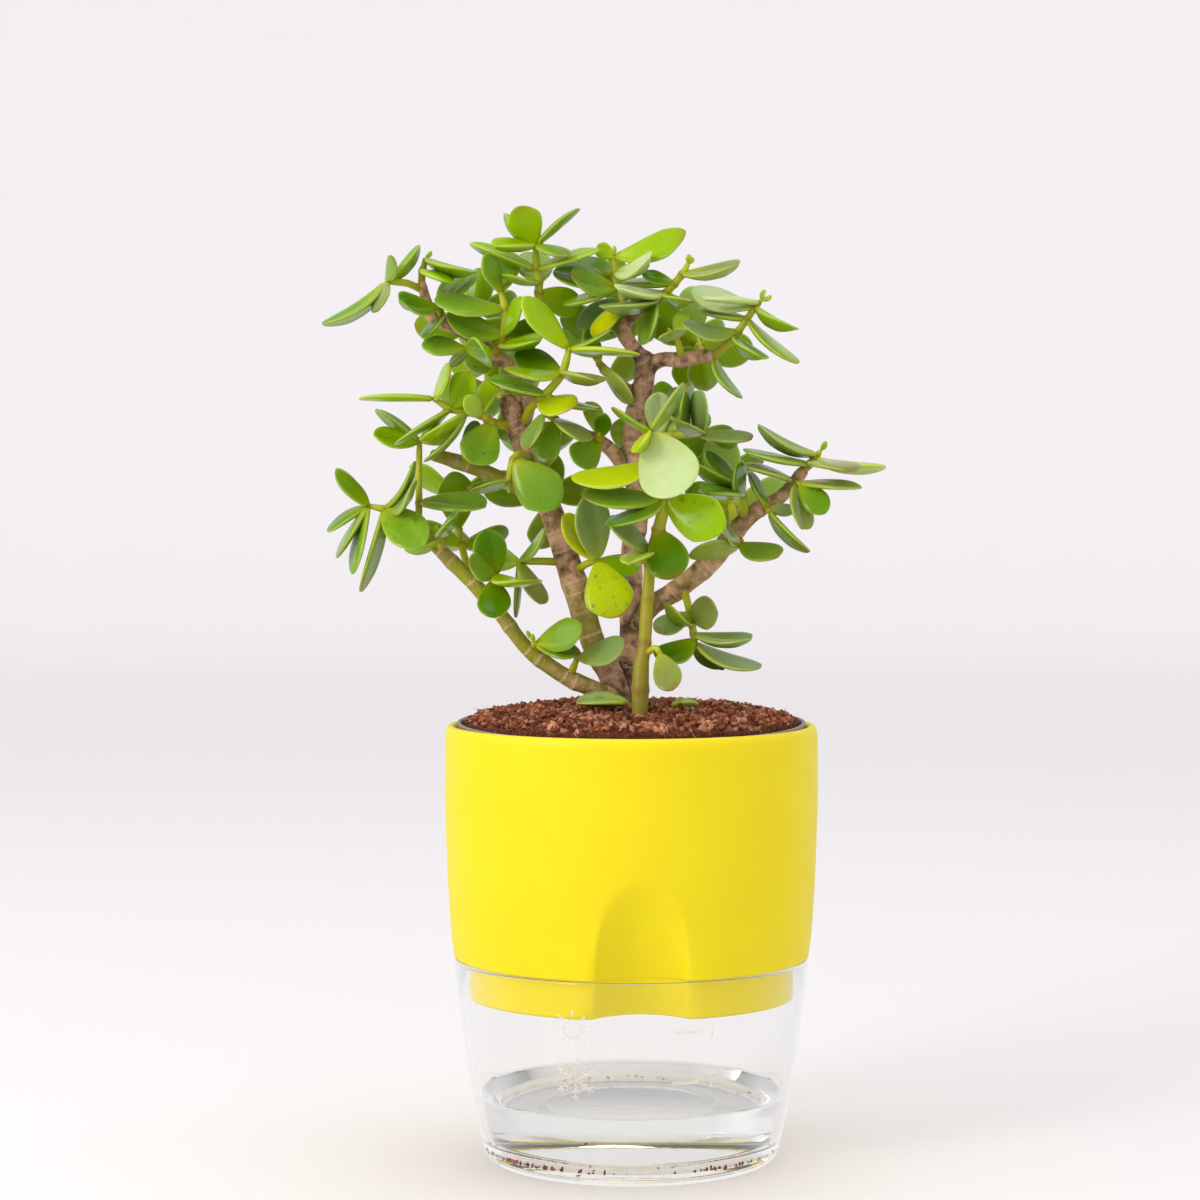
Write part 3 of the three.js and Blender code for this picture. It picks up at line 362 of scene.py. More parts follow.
# %% Group: fine grain
def grain_group():
    tree, given = new_tree("ShaderNodeTree", "Fine grain", [
        ("Size", FLOAT, 0.0006), ("Pits", FLOAT, 0.3), ("Waves", FLOAT, 0.5)], [("Height", FLOAT)])
    place = put(tree, "ShaderNodeTexCoord").outputs["Object"]
    rate = maths(tree, "DIVIDE", 1.0, given["Size"])
    cells = put(tree, "ShaderNodeTexVoronoi", {"Vector": place, "Scale": rate}).outputs["Distance"]
    wave = cloud_at(tree, maths(tree, "MULTIPLY", rate, 0.06), detail=1.0)
    pits = maths(tree, "MULTIPLY_ADD", cells, given["Pits"], cloud_at(tree, rate, detail=2.0))
    put(tree, "NodeGroupOutput", {"Height": maths(tree, "MULTIPLY_ADD", wave, given["Waves"], pits)})
    return tree


GRAIN = grain_group()
print("group ready:", GRAIN.name)


# %% Group: edges that catch the light
def edge_group():
    tree, given = new_tree("ShaderNodeTree", "Painted edge highlight", [
        ("Sharpness", FLOAT, 14.0), ("Patchiness", FLOAT, 0.5), ("Size", FLOAT, 0.003)], [("Mask", FLOAT)])
    # Convex edges in patches: the mask of a painted highlight
    point = put(tree, "ShaderNodeNewGeometry").outputs["Pointiness"]
    edge = maths(tree, "MULTIPLY", maths(tree, "SUBTRACT", point, 0.51), given["Sharpness"], clamp=True)
    cloud = cloud_at(tree, maths(tree, "DIVIDE", 1.0, given["Size"]), detail=3.0)
    whole = maths(tree, "SUBTRACT", 1.0, maths(tree, "MULTIPLY", cloud, given["Patchiness"]))
    put(tree, "NodeGroupOutput", {"Mask": maths(tree, "MULTIPLY", edge, whole, clamp=True)})
    return tree


EDGES = edge_group()
print("group ready:", EDGES.name)


# %% Group: rings round a stem
def ring_group():
    """Reads the 'run' attribute, the way along the stem in millimetres, and 'joint', near a leaf's foot."""
    tree, given = new_tree("ShaderNodeTree", "Stem rings", [
        ("Spacing", FLOAT, 6.0), ("Crookedness", FLOAT, 1.2)], [("Mask", FLOAT), ("Height", FLOAT)])
    run = put(tree, "ShaderNodeAttribute", attribute_name="run").outputs["Fac"]
    joint = put(tree, "ShaderNodeAttribute", attribute_name="joint").outputs["Fac"]
    bent = maths(tree, "MULTIPLY_ADD", cloud_at(tree, 180.0, detail=2.0), given["Crookedness"], run)
    part = maths(tree, "FRACT", maths(tree, "DIVIDE", bent, given["Spacing"]))
    both = maths(tree, "MAXIMUM", maths(tree, "COMPARE", part, 0.5, 0.03), joint)
    height = maths(tree, "MULTIPLY_ADD", both, 0.6, cloud_at(tree, 900.0, detail=3.0))
    put(tree, "NodeGroupOutput", {"Mask": both, "Height": height})
    return tree


RINGS = ring_group()
print("group ready:", RINGS.name)


# %% Making a material
class Finish:
    """A material with its Principled shader, and short ways to add nodes."""

    def __init__(self, name, **values):
        self.material = bpy.data.materials.new(name)
        self.material.use_nodes = True
        self.tree = self.material.node_tree
        self.shader = self.tree.nodes["Principled BSDF"]
        for label, value in values.items():
            self.shader.inputs[label.replace("_", " ")].default_value = value

    def put(self, kind, inputs=None, **settings):
        return put(self.tree, kind, inputs, **settings)

    def group(self, tree, **values):
        made = self.tree.nodes.new("ShaderNodeGroup")
        made.node_tree = tree
        for label, value in values.items():
            socket = made.inputs[label.replace("_", " ")]
            if isinstance(value, bpy.types.NodeSocket):
                self.tree.links.new(value, socket)
            else:
                socket.default_value = value
        return made.outputs

    def mix(self, factor, a, b):
        made = self.put("ShaderNodeMix", {0: factor, 6: a, 7: b}, data_type="RGBA", clamp_factor=True)
        return made.outputs[2]

    def layered(self, base, layers):
        """Colours over one another, each where its mask lies and as strong as it says."""
        for mask, strength, code in layers:
            base = self.mix(self.maths("MULTIPLY", mask, strength), base, colour(code))
        return base

    def maths(self, operation, *values, clamp=False):
        return maths(self.tree, operation, *values, clamp=clamp)

    def ranged(self, value, low, high, from_low=0.0, from_high=1.0):
        return ranged(self.tree, value, from_low, from_high, low, high)

    def read(self, name):
        """A number kept on the mesh."""
        return self.put("ShaderNodeAttribute", attribute_name=name).outputs["Fac"]

    def mottled(self, a, b, size, sharpness, amount):
        """The mottling of two colours, told by their codes."""
        return self.group(MOTTLING, Colour_A=colour(a), Colour_B=colour(b), Size=size,
                          Sharpness=sharpness, Amount_of_B=amount)

    def patches(self, size, sharpness, amount):
        """The mottling's mask alone."""
        return self.group(MOTTLING, Size=size, Sharpness=sharpness, Amount_of_B=amount)["Mask"]

    def grain(self, size, pits, waves):
        return self.group(GRAIN, Size=size, Pits=pits, Waves=waves)["Height"]

    def ramp(self, value, steps):
        """A colour for every value, through steps of a place from 0 to 1 and a colour's code."""
        made = self.put("ShaderNodeValToRGB", {"Fac": value})
        elements = made.color_ramp.elements
        for mark, (place, code) in zip(elements, (steps[0], steps[-1])):
            mark.position, mark.color = place, colour(code)
        for place, code in steps[1:-1]:
            elements.new(place).color = colour(code)
        return made.outputs["Color"]

    def feed(self, label, socket):
        self.tree.links.new(socket, self.shader.inputs[label])

    def bump(self, height, strength, distance):
        made = self.put("ShaderNodeBump", {"Height": height, "Strength": strength, "Distance": distance})
        self.feed("Normal", made.outputs["Normal"])


def colour(hexa):
    """A colour from its usual six-digit code."""
    parts = [int(hexa[i:i + 2], 16) / 255 for i in (0, 2, 4)]
    return (*[c / 12.92 if c < 0.04045 else ((c + 0.055) / 1.055) ** 2.4 for c in parts], 1)


# %% [markdown]
# ## The planter's finishes
# The yellow pot is matt, slightly soft plastic with a fine spark-eroded grain. Its lip and the scoop's edge
# are a little paler, a painted highlight where those edges catch the light. The reservoir is clear, so it
# needs real refraction, and a mix with plain transparency for shadow rays, because light that has to refract
# makes black shadows.
# Coir soil is rough and never one brown: reddish husk, dark damp patches and pale dry bits.


# %% Yellow plastic
def yellow_plastic():
    made = Finish("yellow_plastic", Roughness=0.5, IOR=1.4, Specular_IOR_Level=0.42,
                  Subsurface_Weight=0.12, Subsurface_Scale=0.004)
    made.shader.inputs["Subsurface Radius"].default_value = (1, 0.7, 0.1)
    base = made.mottled("f2e002", "ecd501", 0.02, 0.1, 0.5)["Colour"]
    # Paler convex edges: a painted highlight where the lip and the scoop's edge catch the light
    lit_edges = made.group(EDGES, Sharpness=9.0, Patchiness=0.7)["Mask"]
    made.feed("Base Color", made.layered(base, [(lit_edges, 0.45, "f8ea72")]))
    grain = made.grain(0.00045, 0.4, 0.9)
    made.feed("Roughness", made.ranged(grain, 0.36, 0.5, 0.3, 1.3))
    made.bump(grain, 0.16, 0.00012)
    return made.material


# %% Clear plastic and water
def see_through(name, tint, ior, roughness, wave):
    made = Finish(name, Roughness=roughness, IOR=ior, Transmission_Weight=1.0)
    smudge = made.group(MOTTLING, Colour_A=tint, Colour_B=tuple(0.97 * c for c in tint[:3]) + (1,),
                        Size=0.012, Sharpness=0.2, Amount_of_B=0.35)
    made.feed("Base Color", smudge["Colour"])
    made.feed("Roughness", made.ranged(smudge["Mask"], roughness, roughness + 0.05))
    made.bump(made.grain(0.004, 0.0, 1.0), wave, 0.0003)
    plain_way = made.put("ShaderNodeBsdfTransparent", {"Color": (0.985, 0.985, 0.985, 1)})
    path = made.put("ShaderNodeLightPath").outputs
    # After a few bounces between clear walls, light just goes on, or the walls would turn black
    inside = made.maths("ADD", made.maths("MULTIPLY", path["Glossy Depth"], 2.5), path["Transmission Depth"])
    soft_light = made.maths("MAXIMUM", path["Is Shadow Ray"], path["Is Diffuse Ray"])
    ray = made.maths("MAXIMUM", soft_light, made.maths("GREATER_THAN", inside, 7.2))
    both = made.put("ShaderNodeMixShader", {0: ray, 1: made.shader.outputs[0], 2: plain_way.outputs[0]})
    made.tree.links.new(both.outputs[0], made.tree.nodes["Material Output"].inputs["Surface"])
    return made.material


# %% Grey plastic, print and coir
def grey_plastic():
    made = Finish("grey_plastic", Roughness=0.5)
    base = made.mottled("a08a82", "80706a", 0.006, 0.3, 0.45)["Colour"]
    # Paler convex edges: a painted highlight where the rim catches the light
    lit_edges = made.group(EDGES, Sharpness=12.0, Patchiness=0.8)["Mask"]
    made.feed("Base Color", made.layered(base, [(lit_edges, 0.5, "ab9c95")]))
    made.bump(made.grain(0.0008, 0.3, 0.8), 0.25, 0.0002)
    return made.material


def mark_print():
    made = Finish("pale_print", Roughness=0.5)
    base = made.mottled("fbf7ea", "e4d9b4", 0.002, 0.5, 0.4)
    made.feed("Base Color", base["Colour"])
    made.feed("Alpha", made.ranged(base["Mask"], 0.25, 0.55))
    return made.material


def coir(name, light, dark, pale, steps=None):
    """Reddish husk in patches. Loose bits have steps as well, from a damp bit's colour to a dry one's."""
    made = Finish(name, Roughness=0.95, Specular_IOR_Level=0.15)
    light = made.ramp(made.read("shade"), steps) if steps else colour(light)
    coarse = made.group(MOTTLING, Colour_A=light, Colour_B=colour(dark), Size=0.005,
                        Sharpness=0.6, Amount_of_B=0.4)["Colour"]
    dry = made.patches(0.0011, 0.85, 0.62)
    amount = made.maths("MULTIPLY", made.maths("SUBTRACT", 1.0, dry), 0.3 if steps else 1.0)
    made.feed("Base Color", made.mix(amount, coarse, colour(pale)))
    made.bump(made.grain(0.0005, 0.6, 0.8), 0.9, 0.0006)
    return made.material


YELLOW = yellow_plastic()
CLEAR = see_through("clear_plastic", (0.985, 0.99, 0.985, 1), 1.42, 0.015, 0.05)
WATER = see_through("standing_water", (0.95, 0.975, 0.965, 1), 1.33, 0.0, 0.08)
GREY, PRINT = grey_plastic(), mark_print()
SOIL = coir("coir_soil", "6e3a28", "2c1811", "9a6b4b")
CRUMB = coir("coir_crumbs", "", "4c2618", "e6b688", (
    (0.0, "220f0a"), (0.5, "7a3d2a"), (0.84, "b06647"), (1.0, "dda480")))
print("planter finishes:", [m.name for m in (YELLOW, CLEAR, WATER, GREY, PRINT, SOIL, CRUMB)])

# %% [markdown]
# ## The plant's finishes
# A jade leaf is thick and filled with water, so light goes a little way into it. Its skin is waxy and
# even, with a paler rim that is partly its own colour and partly a painted highlight on the thick edge,
# fine pale dots, and on some leaves a pale grey that is partly bloom and partly painted sheen. Which leaf
# is dark, bright, yellow or grey is kept as numbers on its points, and one material reads them. The woody
# stems are brown with a purple cast, green where the bark is still thin, and ringed where leaves have
# dropped; the grooves where stems meet are painted dark as shade.


# %% Leaf skin
LEAF_TONES = ((0.0, "365c00"), (0.18, "4c8000"), (0.36, "6c9c00"), (0.58, "98c200"), (0.78, "bcd400"),
              (1.0, "e0da00"))


def leaf_skin():
    made = Finish("jade_leaf", IOR=1.42, Specular_IOR_Level=0.08, Subsurface_Weight=0.2,
                  Subsurface_Scale=0.0018, Coat_Weight=0.5, Coat_Roughness=0.16)
    made.shader.inputs["Subsurface Radius"].default_value = (0.55, 1.0, 0.15)
    along, cloud = made.read("along"), made.patches(0.006, 0.25, 0.5)
    skin_colour = made.mix(made.maths("MULTIPLY", cloud, 0.32), made.ramp(made.read("tone"), LEAF_TONES),
                           colour("4e6c00"))
    bloom_and_sheen = made.maths("MULTIPLY", made.read("bloom_and_sheen"), made.ranged(cloud, 1.0, 0.62))
    foot = made.maths("POWER", made.maths("SUBTRACT", 1.0, along), 3.5)
    blush = made.maths("MULTIPLY", made.read("blush"), made.maths("POWER", along, 9.0))
    # Each layer is where it lies, how strong it is there, and its colour
    layers = [
        (made.read("fade"), made.ranged(cloud, 0.5, 0.95), "80703c"),
        # Pale grey over the leaf: partly bloom, partly a painted sheen of light from above
        (bloom_and_sheen, 1.0, "cfdcae"),
        (made.maths("SUBTRACT", 1.0, made.read("upper"), clamp=True), 0.4, "90ac06"),
        (foot, 0.75, "b8c408"),
        # Pale rim: partly the leaf's own edge colour, partly a painted highlight where the thick edge catches
        # light
        (made.maths("POWER", made.read("edge"), 18.0), 0.55, "d2dc6c"),
        (made.patches(0.0007, 0.9, 0.3), 0.16, "c0cc20"),
        (blush, 0.5, "8e4a24"),
        (made.patches(0.0022, 0.88, 0.33), made.read("spots"), "6a4c22"),
    ]
    skin_colour = made.layered(skin_colour, layers)
    made.feed("Base Color", skin_colour)
    made.feed("Roughness", made.ranged(bloom_and_sheen, 0.33, 0.5))
    made.bump(made.grain(0.0009, 0.7, 2.2), 0.3, 0.0003)
    return made.material


# %% Bark and young stems
def bark():
    made = Finish("jade_bark", Roughness=0.7, Specular_IOR_Level=0.35)
    base = made.mottled("deae8a", "583828", 0.004, 0.76, 0.46)["Colour"]
    thin = made.patches(0.016, 0.6, 0.42)
    cover = made.maths("MULTIPLY_ADD", made.read("young"), 0.95, made.maths("MULTIPLY", thin, 0.85))
    rings = made.group(RINGS, Spacing=13.0, Crookedness=2.2)
    made.feed("Base Color", made.layered(base, [
        (made.maths("SUBTRACT", cover, 0.42, clamp=True), 1.0, "94931a"),
        (rings["Mask"], 0.55, "e6c49e"),
        (made.patches(0.0014, 0.8, 0.38), 0.35, "8a5c42"),
        # Painted shade: dark in the grooves where stems meet
        (made.read("crease_shade"), 0.8, "2e1a12"),
    ]))
    made.bump(rings["Height"], 0.6, 0.0008)
    return made.material


def young_stem(name, green, brown):
    made = Finish(name, Roughness=0.45, Subsurface_Weight=0.12, Subsurface_Scale=0.0015)
    made.shader.inputs["Subsurface Radius"].default_value = (0.8, 1.0, 0.2)
    patchy = made.maths("ADD", made.maths("MULTIPLY", made.patches(0.005, 0.5, 0.5), 0.7), 0.45)
    aged = made.maths("MULTIPLY", made.read("old"), patchy, clamp=True)
    rings = made.group(RINGS, Spacing=900.0, Crookedness=0.3)
    base = made.mix(aged, colour(green), colour(brown))
    made.feed("Base Color", made.layered(base, [(rings["Mask"], 0.7, "8a5528")]))
    made.bump(rings["Height"], 0.3, 0.0003)
    return made.material


LEAF, BARK = leaf_skin(), bark()
YOUNG = young_stem("young_stem", "b9c20c", "a38218")
GREEN_STEM = young_stem("green_stem", "a8a006", "6e5a10")
print("plant finishes:", [m.name for m in (LEAF, BARK, YOUNG, GREEN_STEM)])

# %% [markdown]
# ## The clear reservoir
# The real cup is injection-moulded styrene with a rolled lip and a thick floor. It could be a cylinder
# with a thickness modifier, but its wall is waisted and its lip is rounder than its foot, so one
# profile is turned right round, outside and inside, with rounded corners. Clear plastic shows both.

# %% Reservoir
outside = [(r, h, 1.2) for h, r in RESERVOIR_SIDE[1:-1]]
rim = [(52.6, 59.8, 0.9), (52.6 - RESERVOIR_WALL, 59.8, 0.9)]
inside = [(at_height(RESERVOIR_SIDE, h) - RESERVOIR_WALL, h, 1.2) for h in (45.2, 29.3, 17.5, 7)]
floor_ring = [(39.4, RESERVOIR_FLOOR, 1.5), (27, RESERVOIR_FLOOR, 0.5), (26.2, 4.1, 0.5), (24.8, 4.1, 0.5),
              (24, RESERVOIR_FLOOR, 0.5)]
foot = [(38.5, 0, 0), (37.8, 0.5, 0.4), (0, 0.5, 0)]
cup = foot[::-1] + [(RESERVOIR_FOOT, 0, 0.9)] + outside + rim + inside + floor_ring
cup.append((0, RESERVOIR_FLOOR, 0))
reservoir = skin("clear_reservoir", turn_rings(rounded(cup), ROUND))
print("reservoir:", triangles(reservoir), "triangles")

# %% Water
low = RESERVOIR_FLOOR + GAP + 0.8
water_rows = [(0, low, 0), (39, low, 1.0)]
water_rows += [(at_height(RESERVOIR_SIDE, h) - RESERVOIR_WALL - GAP, h, 1.0) for h in (7, 17.5)]
water_rows += [(at_height(RESERVOIR_SIDE, WATER_LEVEL) - RESERVOIR_WALL - GAP, WATER_LEVEL, 0.15)]
water_rows += [(45.2, WATER_LEVEL - 0.6, 0.5), (42, WATER_LEVEL - 0.75, 0.5), (0, WATER_LEVEL - 0.75, 0)]
water = skin("standing_water", turn_rings(rounded(water_rows), ROUND))
print("water:", triangles(water), "triangles")

# %% [markdown]
# ## The yellow pot and its scoop
# The pot is moulded in one piece, and the scoop's arch meets the wall in a soft, narrow edge. A Boolean
# cut would leave a hard, ragged edge there. Instead each row of the turned wall is pulled in to the
# scoop's face, and the columns of the grid are shared out so that two of them follow the arch exactly.
# A soft minimum of the two radii rounds the edge.


# %% Yellow pot
def scoop_face(angle, height):
    """Radius of the scoop's round face at this angle from its middle. Beside it the face runs on
    outwards, so that the rounding of its edge has no step."""
    centre = SCOOP_START - SCOOP_SLOPE * (SCOOP_APEX - height) + SCOOP_RADIUS
    reach = SCOOP_RADIUS**2 - (centre * np.sin(angle)) ** 2
    beside = np.maximum(centre * np.abs(np.sin(angle)) - SCOOP_RADIUS, 0)
    face = centre * np.cos(angle) - np.sqrt(np.maximum(reach, 0)) + SCOOP_EASE * beside
    return np.where(np.abs(angle) < 0.7, face, 1e3)


def scoop_edge(radius, height):
    """Angle at which the scoop's face comes out through a wall of this radius."""
    angles = np.linspace(0, 0.6, 3000)
    within = scoop_face(angles, height) < radius
    return angles[within].max() if within.any() else 0.0


def soft_least(a, b, blend):
    """The lesser of two numbers, with the corner between them rounded."""
    h = np.clip(0.5 + 0.5 * (b - a) / blend, 0, 1)
    return b + (a - b) * h - blend * h * (1 - h)


# Each corner is a radius, a height and how far its rounding reaches
OUTER_WALL = [(0, POT_BOTTOM, 0), (48.2, POT_BOTTOM, 1.2), (49.5, 60.1, 0.4), (52.4, 60.1, 0.7),
              (53.3, 66.5, 3), (54.3, 82.4, 4), (55.1, 106, 4), (54.95, 126.6, 1.2), (54.0, POT_RIM, 0.8)]
INNER_WALL = [(52.6, POT_RIM, 0.7), (51.9, 127.2, 0.5), (52.3, 106, 3), (51.5, 82.4, 4), (50.5, 66.5, 2),
              (47.2, 60.5, 1), (45.4, 51.4, 1.4), (0, 51.4, 0)]


def with_rows(profile, step):
    """The same profile with more rows on its long stretches."""
    out = [profile[0]]
    for a, b in zip(profile, profile[1:]):
        count = max(1, int(math.dist(a, b) / step))
        out += [tuple(np.array(a) + (np.array(b) - a) * k / count) for k in range(1, count + 1)]
    return out


def pot_rings():
    """The pot's rows. Its columns stand closest at the scoop's edge, and widest apart at the back."""
    in_scoop, beside_it = 19, 92
    outer = with_rows(rounded(OUTER_WALL), 0.9)
    inner = with_rows(rounded(INNER_WALL), 2.5)
    rings = []
    for k, (radius, height) in enumerate(outer + inner):
        if radius < 1e-6:
            rings.append([(0, 0, height)])
            continue
        inwards = 0 if k < len(outer) else POT_WALL
        edge = max(scoop_edge(radius + inwards, height), 0.02)
        part = 1 - (1 - np.linspace(0, 1, in_scoop)) ** 1.6
        rest = np.linspace(0, 1, beside_it)[1:] ** 1.5
        angles = np.concatenate([edge * part, edge + (math.pi - edge) * rest])
        angles = np.concatenate([angles, -angles[-2:0:-1]])
        face = scoop_face(angles, height) - inwards
        held = soft_least(np.full_like(face, radius), face, np.interp(height, (60, 72, 89), (9, 8, 1.8)))
        turned = angles + SCOOP_TURN
        rings.append(list(zip(held * np.sin(turned), -held * np.cos(turned), np.full_like(held, height))))
    return rings


def with_drains(pot, height):
    """Five round holes through the floor, cut with an exact Boolean."""
    for i in range(5):
        angle = (i + 0.5) * 2 * math.pi / 5
        x, y = 20 * math.sin(angle), 20 * math.cos(angle)
        ring = [[(x + 3 * math.sin(a), y - 3 * math.cos(a), z) for a in ROUND[::4]] for z in (-6, 6)]
        drill = skin("drill", [[(x, y, -6)], *ring, [(x, y, 6)]])
        drill.data.transform(Matrix.Translation((0, 0, height * MM)))
        cut = pot.modifiers.new("drain", "BOOLEAN")
        cut.operation, cut.object, cut.solver = "DIFFERENCE", drill, "EXACT"
        plain(pot)
        bpy.data.objects.remove(drill)
    pot.data.shade_smooth()
    return pot


yellow_pot = with_drains(skin("yellow_pot", pot_rings()), POT_BOTTOM)
print("yellow pot:", triangles(yellow_pot), "triangles")

# %% [markdown]
# ## The grey nursery pot and the soil
# Only the rim of the thin nursery pot shows above the yellow one, a little higher at the back. The soil
# is coir: a domed bed with coarse crumbs and short fibres. The bed is a polar grid whose points are
# moved by noise of three sizes, so that it is lumpy at the scale of the real crumbs.


# %% Nursery pot
def grow_wall():
    floor_top = GROW_BOTTOM + 1.2
    rows = [(0, GROW_BOTTOM, 0), (grow_radius(GROW_BOTTOM), GROW_BOTTOM, 1.5), (grow_radius(90), 90, 3),
            (grow_radius(122), 122, 0.5), (grow_radius(122.4) + 0.25, 122.6, 0.3), (51.45, GROW_RIM, 0.5),
            (51.45 - GROW_WALL, GROW_RIM, 0.5), (grow_radius(122) - GROW_WALL, 122, 1),
            (grow_radius(90) - GROW_WALL, 90, 3), (grow_radius(floor_top) - GROW_WALL, floor_top, 1.2),
            (0, floor_top, 0)]
    rings = turn_rings(rounded(rows), ROUND)
    # The rim stands higher at the back, and in front it sinks below the yellow lip
    return [[(x, y, z + (GROW_TILT if y > 0 else 2.2 * GROW_TILT) * y * max(0, (z - 124) / 5.6))
             for x, y, z in ring] for ring in rings]


nursery_pot = with_drains(skin("grey_nursery_pot", grow_wall()), GROW_BOTTOM)
print("nursery pot:", triangles(nursery_pot), "triangles")


# %% Soil bed
def lumps(x, y):
    """Coarse, middling and fine lumps of coir, in millimetres."""
    total = 0
    for size, height in ((5.5, 0.85), (2.4, 0.7), (1.1, 0.35)):
        total += height * noise.noise((x / size, y / size, 3.1 * size))
    return total


def soil_rings():
    bottom = GROW_BOTTOM + 1.5
    wall = GROW_WALL + GAP
    angles = np.linspace(0, 2 * math.pi, 240, endpoint=False)
    rings = turn_rings([(0, bottom)] + [(grow_radius(h) - wall, h) for h in (bottom, 90, 120)], angles)
    for radius in (49.3, 49.2, *np.linspace(48.7, 1.5, 82)):
        ring = []
        for a in angles:
            x, y = radius * math.sin(a), -radius * math.cos(a)
            sunk = 0.8 if radius > 49.25 else 0
            ring.append((x, y, float(soil_height(x, y)) + lumps(x, y) - sunk))
        rings.append(ring)
    rings.append([(0, 0, float(soil_height(0, 0)) + lumps(0, 0))])
    return rings


soil_bed = skin("coir_soil", soil_rings())
print("soil bed:", triangles(soil_bed), "triangles")

# %% [markdown]
# ### Loose crumbs and fibres
# Thousands of loose bits lie on the bed. Copying each by hand would be slow and look regular, so a node
# tree scatters them. The same tree is used three times: for crumbs, for fibres, and for the fine bits
# that have dropped into the reservoir. Its seed is fixed, so that every run gives the same bed.


# %% Scatter tree
def named(tree, name, kind="FLOAT"):
    made = put(tree, "GeometryNodeInputNamedAttribute", {"Name": name}, data_type=kind)
    return made.outputs["Attribute"]


def put_shapes(tree, points, box, inputs):
    """A shape from the box on every point."""
    kinds = put(tree, "GeometryNodeCollectionInfo", {
        "Collection": box, "Separate Children": True, "Reset Children": True})
    return put(tree, "GeometryNodeInstanceOnPoints", {
        "Points": points, "Instance": kinds.outputs[0], "Pick Instance": True, **inputs}).outputs[0]


def dressed(tree, shape, finish):
    """The tree's end: the shape with its material."""
    done = put(tree, "GeometryNodeSetMaterial", {"Geometry": shape, "Material": finish})
    put(tree, "NodeGroupOutput", {"Geometry": done.outputs[0]})
    return tree


def scatter_tree():
    tree, given = new_tree("GeometryNodeTree", "Bits over a surface", [
        ("Geometry", GEOMETRY), ("Bits", "NodeSocketCollection"), ("Count", FLOAT), ("Smallest", FLOAT),
        ("Largest", FLOAT), ("Tumble", FLOAT), ("Seed", "NodeSocketInt"), ("Finish", "NodeSocketMaterial")],
        [("Geometry", GEOMETRY)])

    def by_chance(low, high, kind="FLOAT"):
        values = {"Min": low, "Max": high, "Seed": given["Seed"]}
        made = put(tree, "FunctionNodeRandomValue", values, data_type=kind)
        wanted = {"FLOAT": "VALUE", "FLOAT_VECTOR": "VECTOR"}[kind]
        return next(socket for socket in made.outputs if socket.type == wanted and socket.enabled)

    rate = maths(tree, "MULTIPLY", named(tree, "bare"), given["Count"])
    spread = put(tree, "GeometryNodeDistributePointsOnFaces", {
        "Mesh": given["Geometry"], "Density": rate, "Seed": given["Seed"]})
    size = by_chance(given["Smallest"], given["Largest"])
    low = maths(tree, "MULTIPLY", given["Tumble"], -1.0)
    lowest = put(tree, "ShaderNodeCombineXYZ", {"X": low, "Y": low, "Z": -3.14})
    highest = put(tree, "ShaderNodeCombineXYZ", {"X": given["Tumble"], "Y": given["Tumble"], "Z": 3.14})
    turn = by_chance(lowest.outputs[0], highest.outputs[0], "FLOAT_VECTOR")
    laid = put_shapes(tree, spread.outputs["Points"], given["Bits"], {"Rotation": turn, "Scale": size})
    shaded = put(tree, "GeometryNodeStoreNamedAttribute", {
        "Geometry": laid, "Name": "shade", "Value": by_chance(0.0, 1.0)},
        data_type="FLOAT", domain="INSTANCE")
    real = put(tree, "GeometryNodeRealizeInstances", {"Geometry": shaded.outputs[0]})
    return dressed(tree, real.outputs[0], given["Finish"])


def run_tree(thing, tree, values):
    """Puts a node tree on an object, sets its inputs and turns the result into a plain mesh."""
    modifier = thing.modifiers.new(tree.name, "NODES")
    modifier.node_group = tree
    names = {s.name: s.identifier for s in tree.interface.items_tree
             if s.item_type == "SOCKET" and s.in_out == "INPUT"}
    for name, value in values.items():
        modifier[names[name]] = value
    thing.update_tag()
    return plain(thing)


def box_of_shapes(name, shapes):
    """A collection that isn't in the scene, for a node tree to pick its shapes from."""
    box = bpy.data.collections.new(name)
    for thing in shapes:
        for home in list(thing.users_collection):
            home.objects.unlink(thing)
        box.objects.link(thing)
    return box


def crumb(name, seed, long):
    """A rough, sharp-cornered lump about one millimetre across, in 20 faces."""
    form = bmesh.new()
    bmesh.ops.create_icosphere(form, subdivisions=1, radius=0.55)
    for point in form.verts:
        point.co *= 1 + 0.7 * noise.noise(point.co * 2.4 + Vector((seed, 0, 2 * seed)))
        point.co.x *= long
        point.co.z *= 0.72
    points = [tuple(point.co) for point in form.verts]
    faces = [[point.index for point in face.verts] for face in form.faces]
    form.free()
    return mesh_object(name, points, faces, smooth=False)


def fibre(name, seed, length):
    """A bent hair of coir, three-sided."""
    path = []
    for k in range(7):
        t = k / 6 - 0.5
        bend = length * 0.35 * noise.noise((t * 2.2, seed, 0.5))
        path.append((length * t, bend, 0.9 * (0.25 - t * t) + 0.3 * noise.noise((seed, t * 3, 1))))
    rings = [[path[0]]]
    for x, y, z in path[1:-1]:
        rings.append([(x, y + 0.13 * math.cos(a), z + 0.13 * math.sin(a)) for a in (0, 2.094, 4.189)])
    return skin(name, rings + [[path[-1]]])


scatter = scatter_tree()
crumb_box = box_of_shapes("crumbs", [crumb(f"crumb_{k}", 3.7 * k, 1 + 0.35 * (k % 3)) for k in range(5)])
fibre_box = box_of_shapes("fibres", [fibre(f"fibre_{k}", 1.9 * k, 5 + 1.6 * k) for k in range(4)])

# %% [markdown]
# ## The plan of the plant
# The plant is laid out as it is seen from the front. A point is given across, up and in depth, where
# across and up are read in the plane through the pot's axis by an eye 900 mm away. Woody stems are rows
# of such points with a radius. A shoot has its twig, and a row for each leaf that shows: where it is
# rooted, where its tip is, how much deeper that tip lies, and how much of its width is seen.

